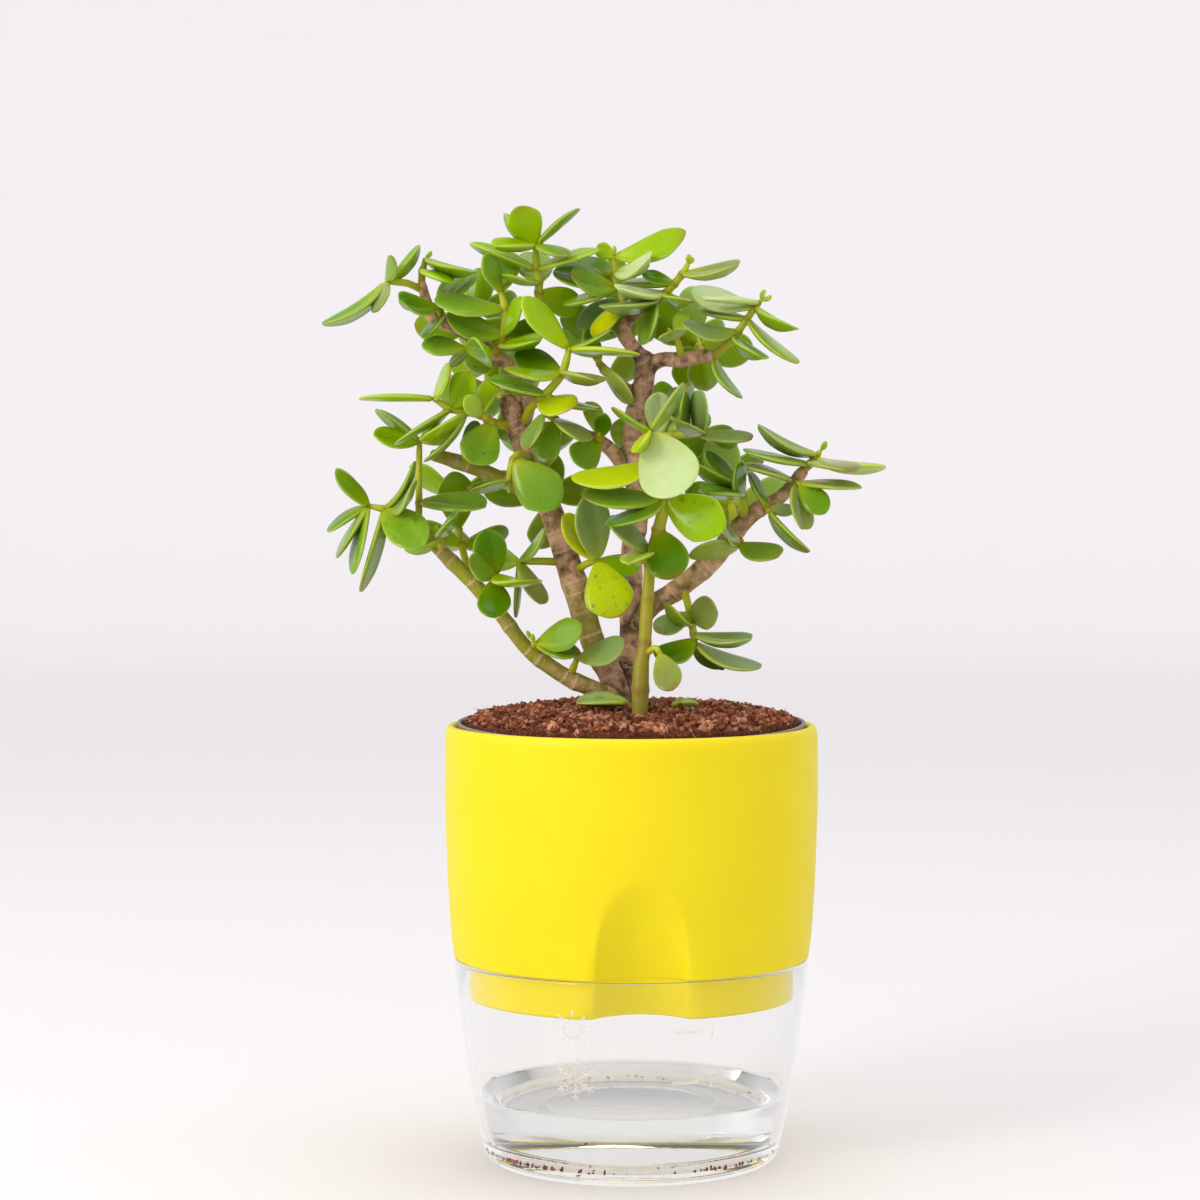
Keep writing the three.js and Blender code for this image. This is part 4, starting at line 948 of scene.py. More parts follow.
# %% Plan
EYE_DISTANCE, EYE_HEIGHT = 900, 197.7
WOOD = [
    [(-2, 112, -2, 3.6), (-5, 139.5, -2, 3.8), (-10.8, 151.5, -2, 3.6), (-14.6, 163, -1, 3.6),
     (-18.6, 176, 0, 3.6), (-22.7, 189, 1, 3.5), (-28, 202, 2, 3.3), (-33.5, 215.5, 3, 3.1),
     (-36.5, 224, 3, 2.7)],
    [(-1, 112, 2, 3.4), (-1.3, 139, 2, 3.4), (0, 155, 4, 3.3), (0, 177, 4, 3.3), (2, 195, 4, 3.3),
     (0.7, 215, 3, 3.3), (2.8, 224, 3, 3.3), (4, 233, 3, 3), (3.7, 237, 3, 2.4)],
    [(4, 233, 3, 2.4), (8.7, 236, 2, 2.1), (14.6, 236, 1, 2), (20.8, 237, 0, 1.8), (23.5, 237, -1, 1.6)],
    [(3.7, 236, 3, 2), (-2, 243.4, 4, 1.8), (0, 248.7, 4, 1.7), (5.5, 252.3, 4, 1.4)],
    [(0.7, 225.7, 3, 1.9), (-4, 229.5, 3, 1.7), (-8.4, 233.4, 1, 1.4)],
    [(2.3, 197.7, 4, 2.2), (-6, 209.5, 2, 1.9), (-15, 214.5, 0, 1.7), (-21, 217.3, -1, 1.5)],
    [(0, 157, 4, 3), (6.3, 163.8, 2, 3), (13.4, 168.2, -1, 3), (23.7, 176.8, -3, 2.8),
     (30, 185, -4, 2.6), (36.4, 191.2, -6, 2.3), (43.5, 195.3, -7, 2), (47, 198.9, -8, 1.8),
     (50.6, 203.3, -8, 1.5)],
    [(-3, 135, -4, 2.4), (-11.2, 139, -8, 2.3), (-18, 141.8, -9, 2.2), (-25.3, 146.5, -9, 2.1),
     (-31.6, 151.8, -9, 2.1), (-38.5, 160.8, -8, 2.1), (-46.2, 169.7, -6, 2), (-53.5, 177, -4, 1.9),
     (-59.4, 183, -2, 1.8), (-63, 187, -1, 1.6), (-70, 190.8, -1, 1.3)],
    [(-33.5, 214, 3, 2.2), (-30.5, 223, 5, 2.1), (-32.9, 231.6, 6, 2), (-40.6, 237.5, 6, 1.9),
     (-47.6, 243.4, 6, 1.8), (-55.6, 247, 6, 1.6), (-59, 249, 6, 1.5), (-61.8, 258.5, 6, 1.3)],
    [(-27, 195, 2, 2.2), (-40.6, 202, 2, 2), (-48, 204.8, 2, 1.9), (-54.4, 207, 2, 1.8),
     (-58.3, 208, 2, 1.6)],
]
FRONT_STEM = [(2.4, 112, -28, 2.5), (2.5, 130.4, -27, 2.5), (2.9, 145, -25, 2.4), (3.8, 151, -24, 2),
    (4.5, 161.4, -22, 1.8), (5.3, 172.9, -20.5, 1.9), (5.8, 176.6, -20, 1.9)]


def plan(name, more, twig, leaves):
    """A shoot: its name, how many leaves it has besides the ones that show, its twig and its leaves."""
    return {"name": "spray_" + name, "more": more, "twig": twig, "leaves": leaves}


SHOOTS = [
    plan("front", 3, [(5.9, 178.6, -20.4, 2), (8, 186, -23, 2), (9.5, 195, -25, 1.9), (7, 206, -26, 1.6),
          (5.5, 215, -27, 1.3)],
         [(5.2, 217, 14, 196.2, -12, 18), (5.5, 208, -17.3, 200.4, -8, 7.7), (9.5, 195, -14.6, 196, -6, 7.4),
          (9.3, 193, -6.3, 187, -14, 6), (9.8, 196, 27.3, 185.9, -8, 14), (9, 186.5, 12.5, 171.5, -8, 12.4),
          (6, 179, -7.2, 188.9, -12, 6.5), (5.8, 178.5, -1, 176, -8, 4), (5.5, 216, 1.5, 209, -9, 3.5)]),
    plan("round_leaf", 0, [(-29, 206, 2, 1.2), (-32.5, 208.5, -5, 1.1), (-35, 206.5, -8, 1.1),
          (-36.5, 200, -8, 1)],
         [(-34.7, 206, -21.8, 192.6, -6, 14), (-36, 200, -47.3, 197.7, -10, 3)]),
    plan("trunk_yellow", 1, [(-16.5, 174, -1, 1.3), (-13, 176, -7, 1.2), (-10, 177, -10, 1.1)],
         [(-10.5, 176.5, -4.5, 160, -8, 14.5), (-10, 177, -20.2, 190.3, -4, 7.7),
          (-10.5, 178, -13.5, 196, -8, 11)]),
    plan("yellow_stalk", 1, [(-32, 217, 3, 1.5), (-29.6, 221.9, -3, 1.4), (-25.5, 225.7, -6, 1.4),
          (-20.5, 231.9, -8, 1.3), (-18.4, 239, -9, 1.2)],
         [(-18.7, 239.3, -32, 254.3, -3, 7.7), (-17.6, 239, 2.5, 237.5, -4, 2.6),
          (-20, 230.4, -9.3, 229.6, -14, 3), (-28.5, 223, -17, 222, -14, 8), (-25, 226, -9.3, 221.3, -8, 3),
          (-20.5, 232, -34, 238.5, 8, 8), (-21.1, 233, -37, 233, -12, 4), (-26, 225.5, -42, 230, -4, 5)]),
    plan("left_reach", 0, [(-34.5, 216.5, 3, 1.5), (-40.9, 217.5, -3, 1.4), (-44.4, 219.8, -5, 1.3),
          (-53, 221.6, -6, 1.2), (-58, 224.5, -6, 1.1)],
         [(-58, 224.5, -80.4, 224.5, -2, 3), (-58, 225, -53.3, 233.4, -12, 4),
          (-53, 222, -47.3, 232.5, -8, 8.3), (-42, 218.5, -49.4, 228.1, 8, 5.3), (-44.4, 220, -40, 231, 6, 6),
          (-44.5, 220, -50, 225.5, -14, 6), (-54.5, 221.5, -69.8, 211, -3, 2.4),
          (-49, 220.3, -62.1, 212.7, -10, 2.4), (-47, 219.5, -61.2, 206, 2, 3),
          (-40.9, 217, -47, 205.5, -12, 12)]),
    plan("left_crown_middle", 2, [(-40.6, 237.5, 4, 1.4), (-37.8, 243, 1, 1.4), (-37.3, 250.8, 0, 1.3),
          (-38.5, 256, 0, 1.1)],
         [(-38.5, 255.8, -43.2, 267, -6, 6), (-37.9, 250.5, -58, 253.4, -6, 6.5),
          (-37.6, 250, -44.1, 250, 14, 3), (-37.6, 242.8, -56.8, 249.9, -8, 8.3),
          (-37.3, 243.5, -32, 254, -6, 5.3), (-40, 240, -25, 242.3, -10, 4), (-37.5, 243, -26, 245, 12, 8)]),
    plan("top", 3, [(-32.9, 232, 6, 1.6), (-29, 242, 8, 1.5), (-27.5, 252, 6, 1.4), (-27.3, 258.8, 4, 1.3),
          (-27.9, 262.3, 4, 1.3), (-28.2, 269.4, 4, 1.2)],
         [(-28.5, 269.7, -33.5, 281, -8, 10.6), (-29, 269.4, -40.3, 269.4, -12, 4),
          (-27.6, 269.4, -19.6, 266.1, -12, 4), (-28, 263.5, -47.6, 270.3, -3, 4),
          (-27, 263, -9.3, 268.2, -3, 4.4), (-28.2, 259.4, -37.3, 261, -10, 2.5),
          (-27.4, 256, -15, 251, 6, 9)]),
    plan("far_left", 0, [(-61.6, 256.5, 6, 1.2), (-66, 258.5, 4, 1.2), (-72, 259, 2, 1.1)],
         [(-74, 257.6, -91, 246.4, -6, 4.1), (-72.7, 259.7, -62.4, 269.7, 4, 3),
          (-71.5, 260, -70, 266, -8, 4), (-72.4, 256, -75, 250.2, -10, 4)]),
    plan("left_crown", 0, [(-61.8, 259, 6.1, 1.2), (-61.5, 262, 6.5, 1.2), (-60.6, 265.5, 7, 1.1)],
         [(-61, 264.7, -74.2, 255, -10, 4.7), (-60.3, 266, -46.5, 261.7, -12, 3),
          (-60.3, 262.6, -54.4, 258.8, -14, 4)]),
    plan("left_fork", 0, [(-55.6, 247, 6, 1.2), (-56, 250, 1, 1.1), (-57, 251.5, -2, 1.1)],
         [(-57, 251, -68.3, 253.8, -12, 6.5), (-56, 251, -46, 263, 8, 7.7), (-56, 249, -60, 243, -12, 4)]),
    plan("left_under", 1, [(-47, 243, 6, 1.2), (-47.5, 240.5, 1, 1.1), (-48.5, 239, -2, 1.1)],
         [(-48.5, 239, -61.8, 240.5, -10, 5.9), (-48, 240, -54, 234, 4, 3)]),
    plan("centre_crown", 0, [(0, 249, 4, 1.3), (-4, 257, 6, 1.2), (-5.5, 266, 6, 1.1)],
         [(-4, 265.8, 16, 273.5, -4, 8.9), (-6.3, 266.7, -10.2, 269.4, -12, 5),
          (-4.6, 260, 5.2, 265.8, -12, 5), (-5, 263.2, -15.2, 265.8, 12, 7),
          (-3.5, 256.5, -17.6, 260.5, -10, 7.7), (-4, 255, -20, 252, 6, 4), (-1.5, 251, -10.5, 242.5, -8, 6),
          (-3, 253, -16, 247, 10, 8), (-5, 258, -23, 262, 8, 8)]),
    plan("centre_right_crown", 0, [(5.9, 252.5, 3.9, 1.3), (10, 255.5, 2, 1.3), (14.9, 261.1, 0, 1.2),
          (16.5, 264, 0, 1.1)],
         [(15.5, 259.7, 31.4, 264, -12, 4), (12, 259.7, 1.9, 261.7, -14, 4), (11, 258.5, -1.9, 259, 10, 4),
          (8.7, 256.4, -4, 257, -14, 4.1), (11, 255.2, 17, 253.2, -14, 3), (7, 253.5, -8.1, 251.4, -12, 3.5),
          (7, 253, 5, 241.5, -8, 6)]),
    plan("right_crown", 0, [(24, 237, -1.2, 1.5), (29, 241.4, -3, 1.3), (31.4, 244.3, -3, 1.2),
          (36.4, 251.4, -4, 1.1), (37.9, 253.2, -4, 1)],
         [(36.7, 252.9, 21.4, 253.8, -10, 3.2), (37, 251, 48.2, 245.2, -12, 2.7),
          (33, 246, 49.1, 234.9, -4, 3.8), (30.5, 242.5, 38.5, 236.6, -14, 3.5),
          (31.1, 244.9, 15.2, 246.4, -8, 5.3), (34, 248, 20.2, 251.4, 10, 3.5), (35, 250, 18, 257, 6, 7),
          (24.5, 237, 32.3, 224.8, -8, 4.4), (26, 238.5, 17.5, 242, -14, 6)]),
    plan("right_crown_inner", 1, [(14.6, 236, 1, 1.2), (14, 240, -3, 1.1), (13, 243, -5, 1.1)],
         [(13.2, 238.7, -6.6, 240.5, -5, 3.5), (13, 241, 2.5, 244.9, -14, 4),
          (13.4, 242.5, 16.7, 252.6, -8, 7.1)]),
    plan("inner_fork", 2, [(-7.6, 232.8, 1, 1.2), (-9.5, 235, -1, 1.1), (-10, 237, -2, 1)],
         [(-9, 233.5, 0.4, 224, -9, -5), (-9.5, 235, -12.5, 245, 4, 5)]),
    plan("left_upright", 2, [(-62.9, 187.2, -1, 1.2), (-62.7, 193.9, 2, 1.1), (-62.7, 203, 3, 1.1),
          (-62.5, 211.9, 3, 1)],
         [(-62.5, 211.5, -76, 214, -6, 6.5), (-62.3, 212, -53, 215, -6, 5.5),
          (-62.7, 193, -42.9, 193, -8, 6.5)]),
    plan("left_drooping", 2, [(-69.6, 190.6, -1, 1.2), (-73, 192, -2, 1.2), (-77.5, 193, -2, 1)],
         [(-77.1, 193, -86.9, 177.6, -4, 3.5), (-77.7, 192, -82.2, 172.9, -6, 4.1),
          (-74.2, 191, -80.1, 167.6, -1, 3), (-73, 192, -61.5, 181, -13, 12), (-73, 193, -61, 210.7, -8, 2.7),
          (-71.5, 192, -64.5, 199.5, -12, 4)]),
    plan("side_stub", 1, [(-48, 204.4, 2, 1.1), (-49, 207, -1, 1.1), (-49.5, 209, -2, 1)],
         [(-49.5, 208, -57, 213, -10, 5), (-49, 207, -42, 207.5, -14, 5)]),
    plan("inner_left", 1, [(-20.6, 217, -1, 1.3), (-24, 219.5, -4, 1.2), (-26, 220, -6, 1.1)],
         [(-23.5, 218, -26, 204.5, -8, 8), (-21.3, 218.9, -14, 211.9, -14, 5)]),
    plan("inner_middle", 1, [(-9, 211.2, 2, 1.1), (-9.5, 213, -3, 1.1), (-9.5, 215, -6, 1)],
         [(-10, 211.5, -16.5, 205.5, -12, 10), (-10, 214.5, -13, 225, -6, 6), (-8, 213, -7, 222.5, -8, 7)]),
    plan("grey_green", 1, [(2, 213, 3, 1.3), (8, 213.5, -2, 1.3), (16.7, 214.2, -5, 1.2),
          (21, 214.5, -6, 1.1)],
         [(9, 215.4, 8, 226.5, -6, 8.5), (13, 214, 13.5, 228, 6, 8), (16.7, 217, 16.4, 229, -10, 5.3),
          (19, 216, 21.5, 226, -8, 7), (21, 214, 12.8, 218.4, -14, 2.5), (19.6, 215, 35.5, 212.7, -8, 4.4),
          (20, 213, 34, 209, -14, 2.5)]),
    plan("right_inner", 2, [(33, 188, -5, 1.3), (33.5, 193, -8, 1.2), (32, 199, -9, 1.1)],
         [(33, 197, 21.7, 196.8, -14, 4), (33, 195, 30.8, 204.7, -13, 6), (32, 199, 22.3, 209.2, 6, 5)]),
    plan("right_tip", 0, [(50.9, 203.6, -8, 1.3), (53.8, 206.8, -8, 1.2), (55.5, 209, -8, 1.1)],
         [(54.5, 208, 37.3, 216.6, -6, 3.5), (54.7, 206.6, 75, 204.5, -3, 3),
          (53, 205.5, 67.1, 203, -12, 3.5), (52, 204.5, 33.2, 209.2, -10, 3.2)]),
    plan("right_tip_low", 1, [(47.8, 200, -8, 1.2), (49.5, 199.5, -13, 1.1)],
         [(49.5, 201, 67.7, 198.3, -8, 4.1), (48, 200.5, 32.3, 204.8, -10, 3.5),
          (48.5, 199, 50.6, 186.2, -10, 6.5)]),
    plan("right_arm", 0, [(40, 193.3, -7, 1.2), (40, 192.5, -11, 1.1), (40.5, 191.5, -13, 1)],
         [(40, 192.5, 34.7, 203.1, 10, 4), (40.5, 192, 49.1, 191.5, -14, 3.8),
          (40.3, 191, 52.4, 179.4, -6, 2)]),
    plan("right_elbow", 0, [(30, 185, -4, 1.3), (32, 182.5, -8, 1.2), (32, 181, -10, 1.1)],
         [(32, 182, 43.2, 177.9, -14, 7), (32.5, 183, 27.2, 187.8, -12, 4),
          (32, 181.5, 17.3, 179, -10, -5.3)]),
    plan("right_hanging", 1, [(15.5, 168.6, -2, 1.3), (17.3, 161.4, -8, 1.2), (18.4, 155, -10, 1.2),
          (18.7, 152.5, -10, 1.1)],
         [(19, 155.5, 35.5, 154, -8, 4.4), (19, 152.5, 38.2, 145.2, -6, 5), (18, 153.5, 8, 147.5, -12, 8.3),
          (18, 157, 10.2, 164.4, -10, 2.4), (17.3, 163, 25.5, 161.5, -12, 10), (17.5, 160, 7, 156, -6, 7)]),
    plan("front_drop", 0, [(3.6, 149, -24.3, 1.2), (7, 151, -26, 1.1), (8.3, 149.5, -27, 1.1)],
         [(8.1, 149.8, 12.2, 138.5, -8, 8.3)]),
    plan("trunk_left", 1, [(-21, 176.5, 0, 1.3), (-28, 176.7, -3, 1.2), (-33, 176.5, -4, 1.1)],
         [(-32.5, 177, -25.5, 186, -10, 4), (-32, 176, -26.7, 164, -10, 5.9), (-33, 176, -34, 160, 2, 2.5)]),
    plan("low_left", 0, [(-42.8, 166, -7, 1.3), (-41.5, 169.5, -10, 1.2), (-40, 172.5, -10, 1.1)],
         [(-40, 172.5, -43, 186, -6, 10), (-40.5, 172, -48, 176.5, -12, 7),
          (-39.5, 171.5, -29.6, 170.9, -14, 3.5), (-40.5, 171, -40.5, 160, -12, 10)]),
    plan("low_stub", 0, [(-27, 150.2, -9, 1.3), (-28.5, 152, -13, 1.2), (-29, 153, -14, 1.1)],
         [(-28, 152.5, -14.5, 157, -8, 9.4), (-28.5, 152, -15, 149, -4, 6)]),
    plan("low_upright", 0, [(-18, 143, -8, 1.3), (-17, 145.5, -11, 1.2), (-16, 148, -12, 1.1)],
         [(-16, 148, -2, 152, -8, 7.7)]),
    plan("left_arm_buds", 0, [(-56, 179.7, -3, 1.2), (-57, 183, -7, 1.1), (-57.5, 184.5, -8, 1)],
         [(-57, 183.5, -51.8, 190.4, -12, 2.5), (-57, 183, -67, 180.2, -12, 3)]),
    plan("back_1", 7, [(-47.6, 243.4, 6, 1.4), (-47, 245, 15, 1.3), (-47, 247, 27, 1.3), (-46, 251, 39, 1.1)],
         []),
    plan("back_2", 8, [(-30.5, 223, 5, 1.5), (-37, 225, 17, 1.4), (-41, 228, 31, 1.3), (-43, 233, 45, 1.1)],
         []),
    plan("back_3", 8, [(3.7, 233, 3, 1.5), (0, 240, 17, 1.4), (-5, 248, 31, 1.3), (-7, 256, 43, 1.1)],
         []),
    plan("back_4", 7, [(20.8, 237, 0, 1.4), (20, 239, 13, 1.3), (19, 241.5, 25, 1.3), (18, 244, 36, 1.1)],
         []),
    plan("back_5", 8, [(1.2, 205, 4, 1.5), (6, 208, 18, 1.4), (10, 211, 33, 1.3), (12, 216, 46, 1.1)],
         []),
    plan("back_6", 8, [(-22.5, 189, 1, 1.5), (-24, 194, 16, 1.4), (-26, 200, 32, 1.3), (-27, 209, 46, 1.1)],
         []),
    plan("back_7", 6, [(30, 185, -4, 1.4), (30, 190, 10, 1.3), (29, 196, 24, 1.3), (28, 203, 36, 1.1)],
         []),
    plan("back_8", 6, [(-46.2, 169.7, -6, 1.3), (-49, 177, 6, 1.2), (-51, 186, 17, 1.2), (-52, 196, 27, 1.1)],
         []),
]
placed_by_hand = sum(len(shoot["leaves"]) for shoot in SHOOTS)
print(len(WOOD), "woody stems,", len(SHOOTS), "shoots,", placed_by_hand, "leaves by hand")

# %% [markdown]
# ## Where each leaf goes
# Leaves that pass through each other look wrong at once, so a leaf only takes a place that is free. It
# is tried where the plan puts it, then leaning nearer or deeper, then a little smaller. A leaf is felt
# for at thirty points of its middle plane, against every stem and every leaf that stands already. The
# test handles all of them in one go with arrays, which keeps it to seconds. The rule is the CAD
# model's own, so each leaf comes out in the same place as there.


# %% Stems as smooth paths
def to_space(flat):
    """Point across, up and deep, as it lies in space."""
    across, up, depth = flat
    scale = 1 + depth / EYE_DISTANCE
    return np.array((across * scale, depth, EYE_HEIGHT + (up - EYE_HEIGHT) * scale))


def smooth_path(rows, steps):
    """Catmull-Rom curve through the rows: its flat points, its points in space and its radii."""
    rows = np.array(rows, float)
    own = rows[:, :3]
    own = np.vstack([2 * own[0] - own[1], own, 2 * own[-1] - own[-2]])
    flat, radius = [], []
    spans = len(rows) - 1
    for i in range(spans * steps + 1):
        span = min(spans - 1, i // steps)
        t = i / steps - span
        a, b, c, d = own[span:span + 4]
        v0, v1 = (c - a) * 0.5, (d - b) * 0.5
        flat.append((2 * b - 2 * c + v0 + v1) * t**3 + (-3 * b + 3 * c - 2 * v0 - v1) * t**2 + v0 * t + b)
        radius.append(rows[span, 3] + (rows[span + 1, 3] - rows[span, 3]) * t)
    return np.array(flat), np.array([to_space(f) for f in flat]), np.array(radius)


def unit(v):
    return v / np.linalg.norm(v)


def frames_along(points):
    """Directions along and across a path, carried along it without twist."""
    across, out = np.array((1.0, 0, 0)), []
    for i in range(len(points)):
        along = unit(points[min(len(points) - 1, i + 1)] - points[max(0, i - 1)])
        if i == 0 and abs(along[0]) > 0.9:
            across = np.array((0, 1.0, 0))
        across = unit(across - along * across.dot(along))
        out.append((along, across, np.cross(along, across)))
    return out


# %% A leaf and its free place
LEAF_RATIO, LEAF_THICKNESS, LEAF_CLEARANCE = 0.6, 2.3, 0.45
STATIONS = np.repeat((0.2, 0.36, 0.52, 0.68, 0.84, 0.97), 5)
SPANS = np.tile((-0.95, -0.5, 0, 0.5, 0.95), 6)
HALVES = LEAF_THICKNESS / 2 * (1 - 0.8 * np.abs(SPANS))


SPOON_PEAK = 0.385  # what t * sqrt(1 - t) comes to at a leaf's widest place


def spoon(t):
    """Half width along a leaf, from its narrow foot to its round tip, as a part of the greatest."""
    return np.maximum(0.14, t * np.sqrt(np.maximum(0, 1 - t)) / SPOON_PEAK)


def make_leaf(base, tip, width, face, bow):
    along = unit(tip - base)
    normal = unit(face - along * face.dot(along))
    return {"base": base, "along": along, "normal": normal, "side": np.cross(along, normal),
            "length": float(np.linalg.norm(tip - base)), "width": width, "bow": bow}


def leaf_samples(leaf):
    rise = leaf["bow"] * leaf["length"] * 4 * STATIONS * (1 - STATIONS)
    out = SPANS * spoon(STATIONS) * leaf["width"] / 2
    return (leaf["base"] + np.outer(STATIONS * leaf["length"], leaf["along"]) + np.outer(rise, leaf["normal"])
            + np.outer(out, leaf["side"]))


class Taken:
    """Everything that stands already, as arrays."""

    def __init__(self):
        self.leaves, self.samples, self.leaf_owner = [], [], []
        self.a, self.b, self.thick, self.stem_owner = [], [], [], []

    def add_stem(self, points, radii, owner):
        for i in range(1, len(points)):
            self.a.append(points[i - 1])
            self.b.append(points[i])
            self.thick.append(max(radii[i - 1], radii[i]))
            self.stem_owner.append(owner)

    def seal_stems(self):
        self.a, self.b, self.thick = np.array(self.a), np.array(self.b), np.array(self.thick)
        self.stem_owner = np.array(self.stem_owner)

    def add_leaf(self, leaf, samples, owner):
        self.leaves.append(leaf)
        self.samples.append(samples)
        self.leaf_owner.append(owner)
        self.table = {key: np.array([each[key] for each in self.leaves]) for key in leaf}
        self.owners = np.array(self.leaf_owner)


def pressed(points, halves, leaf, air):
    """Whether points lie in a leaf's space, counting the air wanted between them. Arrays may be stacked."""
    away = points - leaf["base"]
    t = np.sum(away * leaf["along"], -1) / leaf["length"]
    half = spoon(np.clip(t, 0, 0.97)) * leaf["width"] / 2
    u = np.abs(np.sum(away * leaf["side"], -1))
    h = np.abs(np.sum(away * leaf["normal"], -1) - leaf["bow"] * leaf["length"] * 4 * t * (1 - t))
    over = LEAF_THICKNESS / 2 * np.maximum(0.1, 1 - 0.8 * u / half) + halves + air
    return (t > -0.06) & (t < 1.06) & (u <= half + halves + air) & (h < over)


def is_clear(leaf, samples, owner, taken):
    x, y, z = samples.T
    if np.any((z < 132) & (np.hypot(x, y) > 44)) or np.any(z < soil_height(x, y) + 1.6):
        return False
    others = taken.stem_owner != owner
    a, run = taken.a[others], (taken.b - taken.a)[others]
    t = np.einsum("sij,ij->si", samples[:, None] - a, run) / np.einsum("ij,ij->i", run, run)
    near = a + np.clip(t, 0, 1)[..., None] * run
    gap = np.linalg.norm(samples[:, None] - near, axis=-1)
    if np.any(gap < taken.thick[others] + HALVES[:, None] + LEAF_CLEARANCE):
        return False
    if not taken.leaves:
        return True
    own = taken.owners == owner
    air = np.where(own, 0, LEAF_CLEARANCE)
    exempt = own[None, :] & (STATIONS < 0.45)[:, None]
    if np.any(pressed(samples[:, None], HALVES[:, None], taken.table, air[None]) & ~exempt):
        return False
    return not np.any(pressed(np.array(taken.samples), HALVES[None], leaf, air[:, None]) & ~exempt.T)


taken = Taken()


def place_leaf(candidates, owner):
    for leaf in candidates:
        samples = leaf_samples(leaf)
        if is_clear(leaf, samples, owner, taken):
            taken.add_leaf(leaf, samples, owner)
            return leaf
    return None


# %% Leaves by plan and leaves by rule
class Chance:
    """Repeatable random numbers."""

    def __init__(self, seed):
        self.state = seed

    def draw(self, low, high):
        self.state = (self.state * 1664525 + 1013904223) % 4294967296
        return low + (high - low) * self.state / 4294967296


growth = Chance(20)


def face_seen(base, along, width, seen):
    """The upper face that shows this much of a leaf to the eye, its edge included."""
    eye = unit(np.array((0, -EYE_DISTANCE, EYE_HEIGHT)) - base)
    level = unit(np.cross(along, eye))
    level = -level if level[2] < 0 else level
    facing = unit(np.cross(level, along))
    facing = -facing if facing.dot(eye) < 0 else facing
    part = abs(seen) - 0.9 * (1 - abs(seen) / width)
    lean = math.asin(max(0, min(1, (part**2 - LEAF_THICKNESS**2) / (width**2 - LEAF_THICKNESS**2))) ** 0.5)
    return level * math.cos(lean) + facing * math.copysign(math.sin(lean), seen)


def seen_leaf(row, flat, points, owner):
    base_across, base_up, tip_across, tip_up, deeper, seen = row
    i = int(np.argmin(np.hypot(flat[:, 0] - base_across, flat[:, 1] - base_up)))
    foot, bow, candidates = points[i], growth.draw(-0.1, 0.04), []
    for shrink in (1, 0.88, 0.76):
        for shift in (0, -3, 3, -6, 6, -9, 9, -13, 13):
            far = to_space((tip_across, tip_up, flat[i, 2] + deeper + shift))
            tip = foot + (far - foot) * shrink
            width = max(abs(seen), LEAF_RATIO * np.linalg.norm(tip - foot)) * shrink
            face = face_seen(foot, unit(tip - foot), width, seen)
            candidates.append(make_leaf(foot, tip, width, face, bow))
    return place_leaf(candidates, owner)


def ruled_leaf(index, count, points, owner):
    """A leaf of a crossed pair round the twig, where the photograph shows none singly."""
    axes, pair = frames_along(points), index // 2
    reach = 1 - (pair + 0.1) / max(2, math.ceil(count / 2) + 0.6)
    i = max(1, math.floor(reach * (len(points) - 1) + 0.5))
    along, across, side = axes[i]
    quarter = (pair % 2) * math.pi / 2 + (index % 2) * math.pi + growth.draw(-0.3, 0.3)
    size = growth.draw(14.5, 20.5) * (0.85 if pair == 0 else 1)
    spread = (48 if pair == 0 else 66) + growth.draw(-8, 8)
    bow, candidates = growth.draw(-0.1, 0.03), []
    for shrink in (1, 0.82, 0.68):
        for swing in (0, 22, -22, 44, -44, 70, -70, 100, -100):
            angle = quarter + math.radians(swing)
            out, opened = across * math.cos(angle) + side * math.sin(angle), math.radians(spread)
            tip = points[i] + (along * math.cos(opened) + out * math.sin(opened)) * size * shrink
            candidates.append(make_leaf(points[i], tip, LEAF_RATIO * size * shrink, along, bow))
    return place_leaf(candidates, owner)


for rows in WOOD:
    _, points, radii = smooth_path(rows, 2)
    taken.add_stem(points, radii, "wood")
_, points, radii = smooth_path(FRONT_STEM, 2)
taken.add_stem(points, radii, "front_stem")
for shoot in SHOOTS:
    shoot["flat"], shoot["points"], shoot["radii"] = smooth_path(shoot["twig"], 2)
    taken.add_stem(shoot["points"], shoot["radii"], shoot["name"])
taken.seal_stems()
for shoot in SHOOTS:
    shoot["grown"] = [seen_leaf(row, shoot["flat"], shoot["points"], shoot["name"])
                      for row in shoot["leaves"]]
for shoot in SHOOTS:
    shoot["grown"] += [ruled_leaf(i, shoot["more"], shoot["points"], shoot["name"])
                       for i in range(shoot["more"])]
print(len(taken.leaves), "leaves have found a place")

# %% [markdown]
# ## Leaf blades
# A real jade leaf is a thick spoon: a short narrow foot, the greatest width past the middle, a round
# tip, and an edge that is blunt, not sharp. Four blades are modelled once, each of unit size: a plain
# one, one with a small point, one with a crease along its middle, and a cupped round one. Each point
# keeps how far along it is, how near the edge, and whether it is on the upper side.


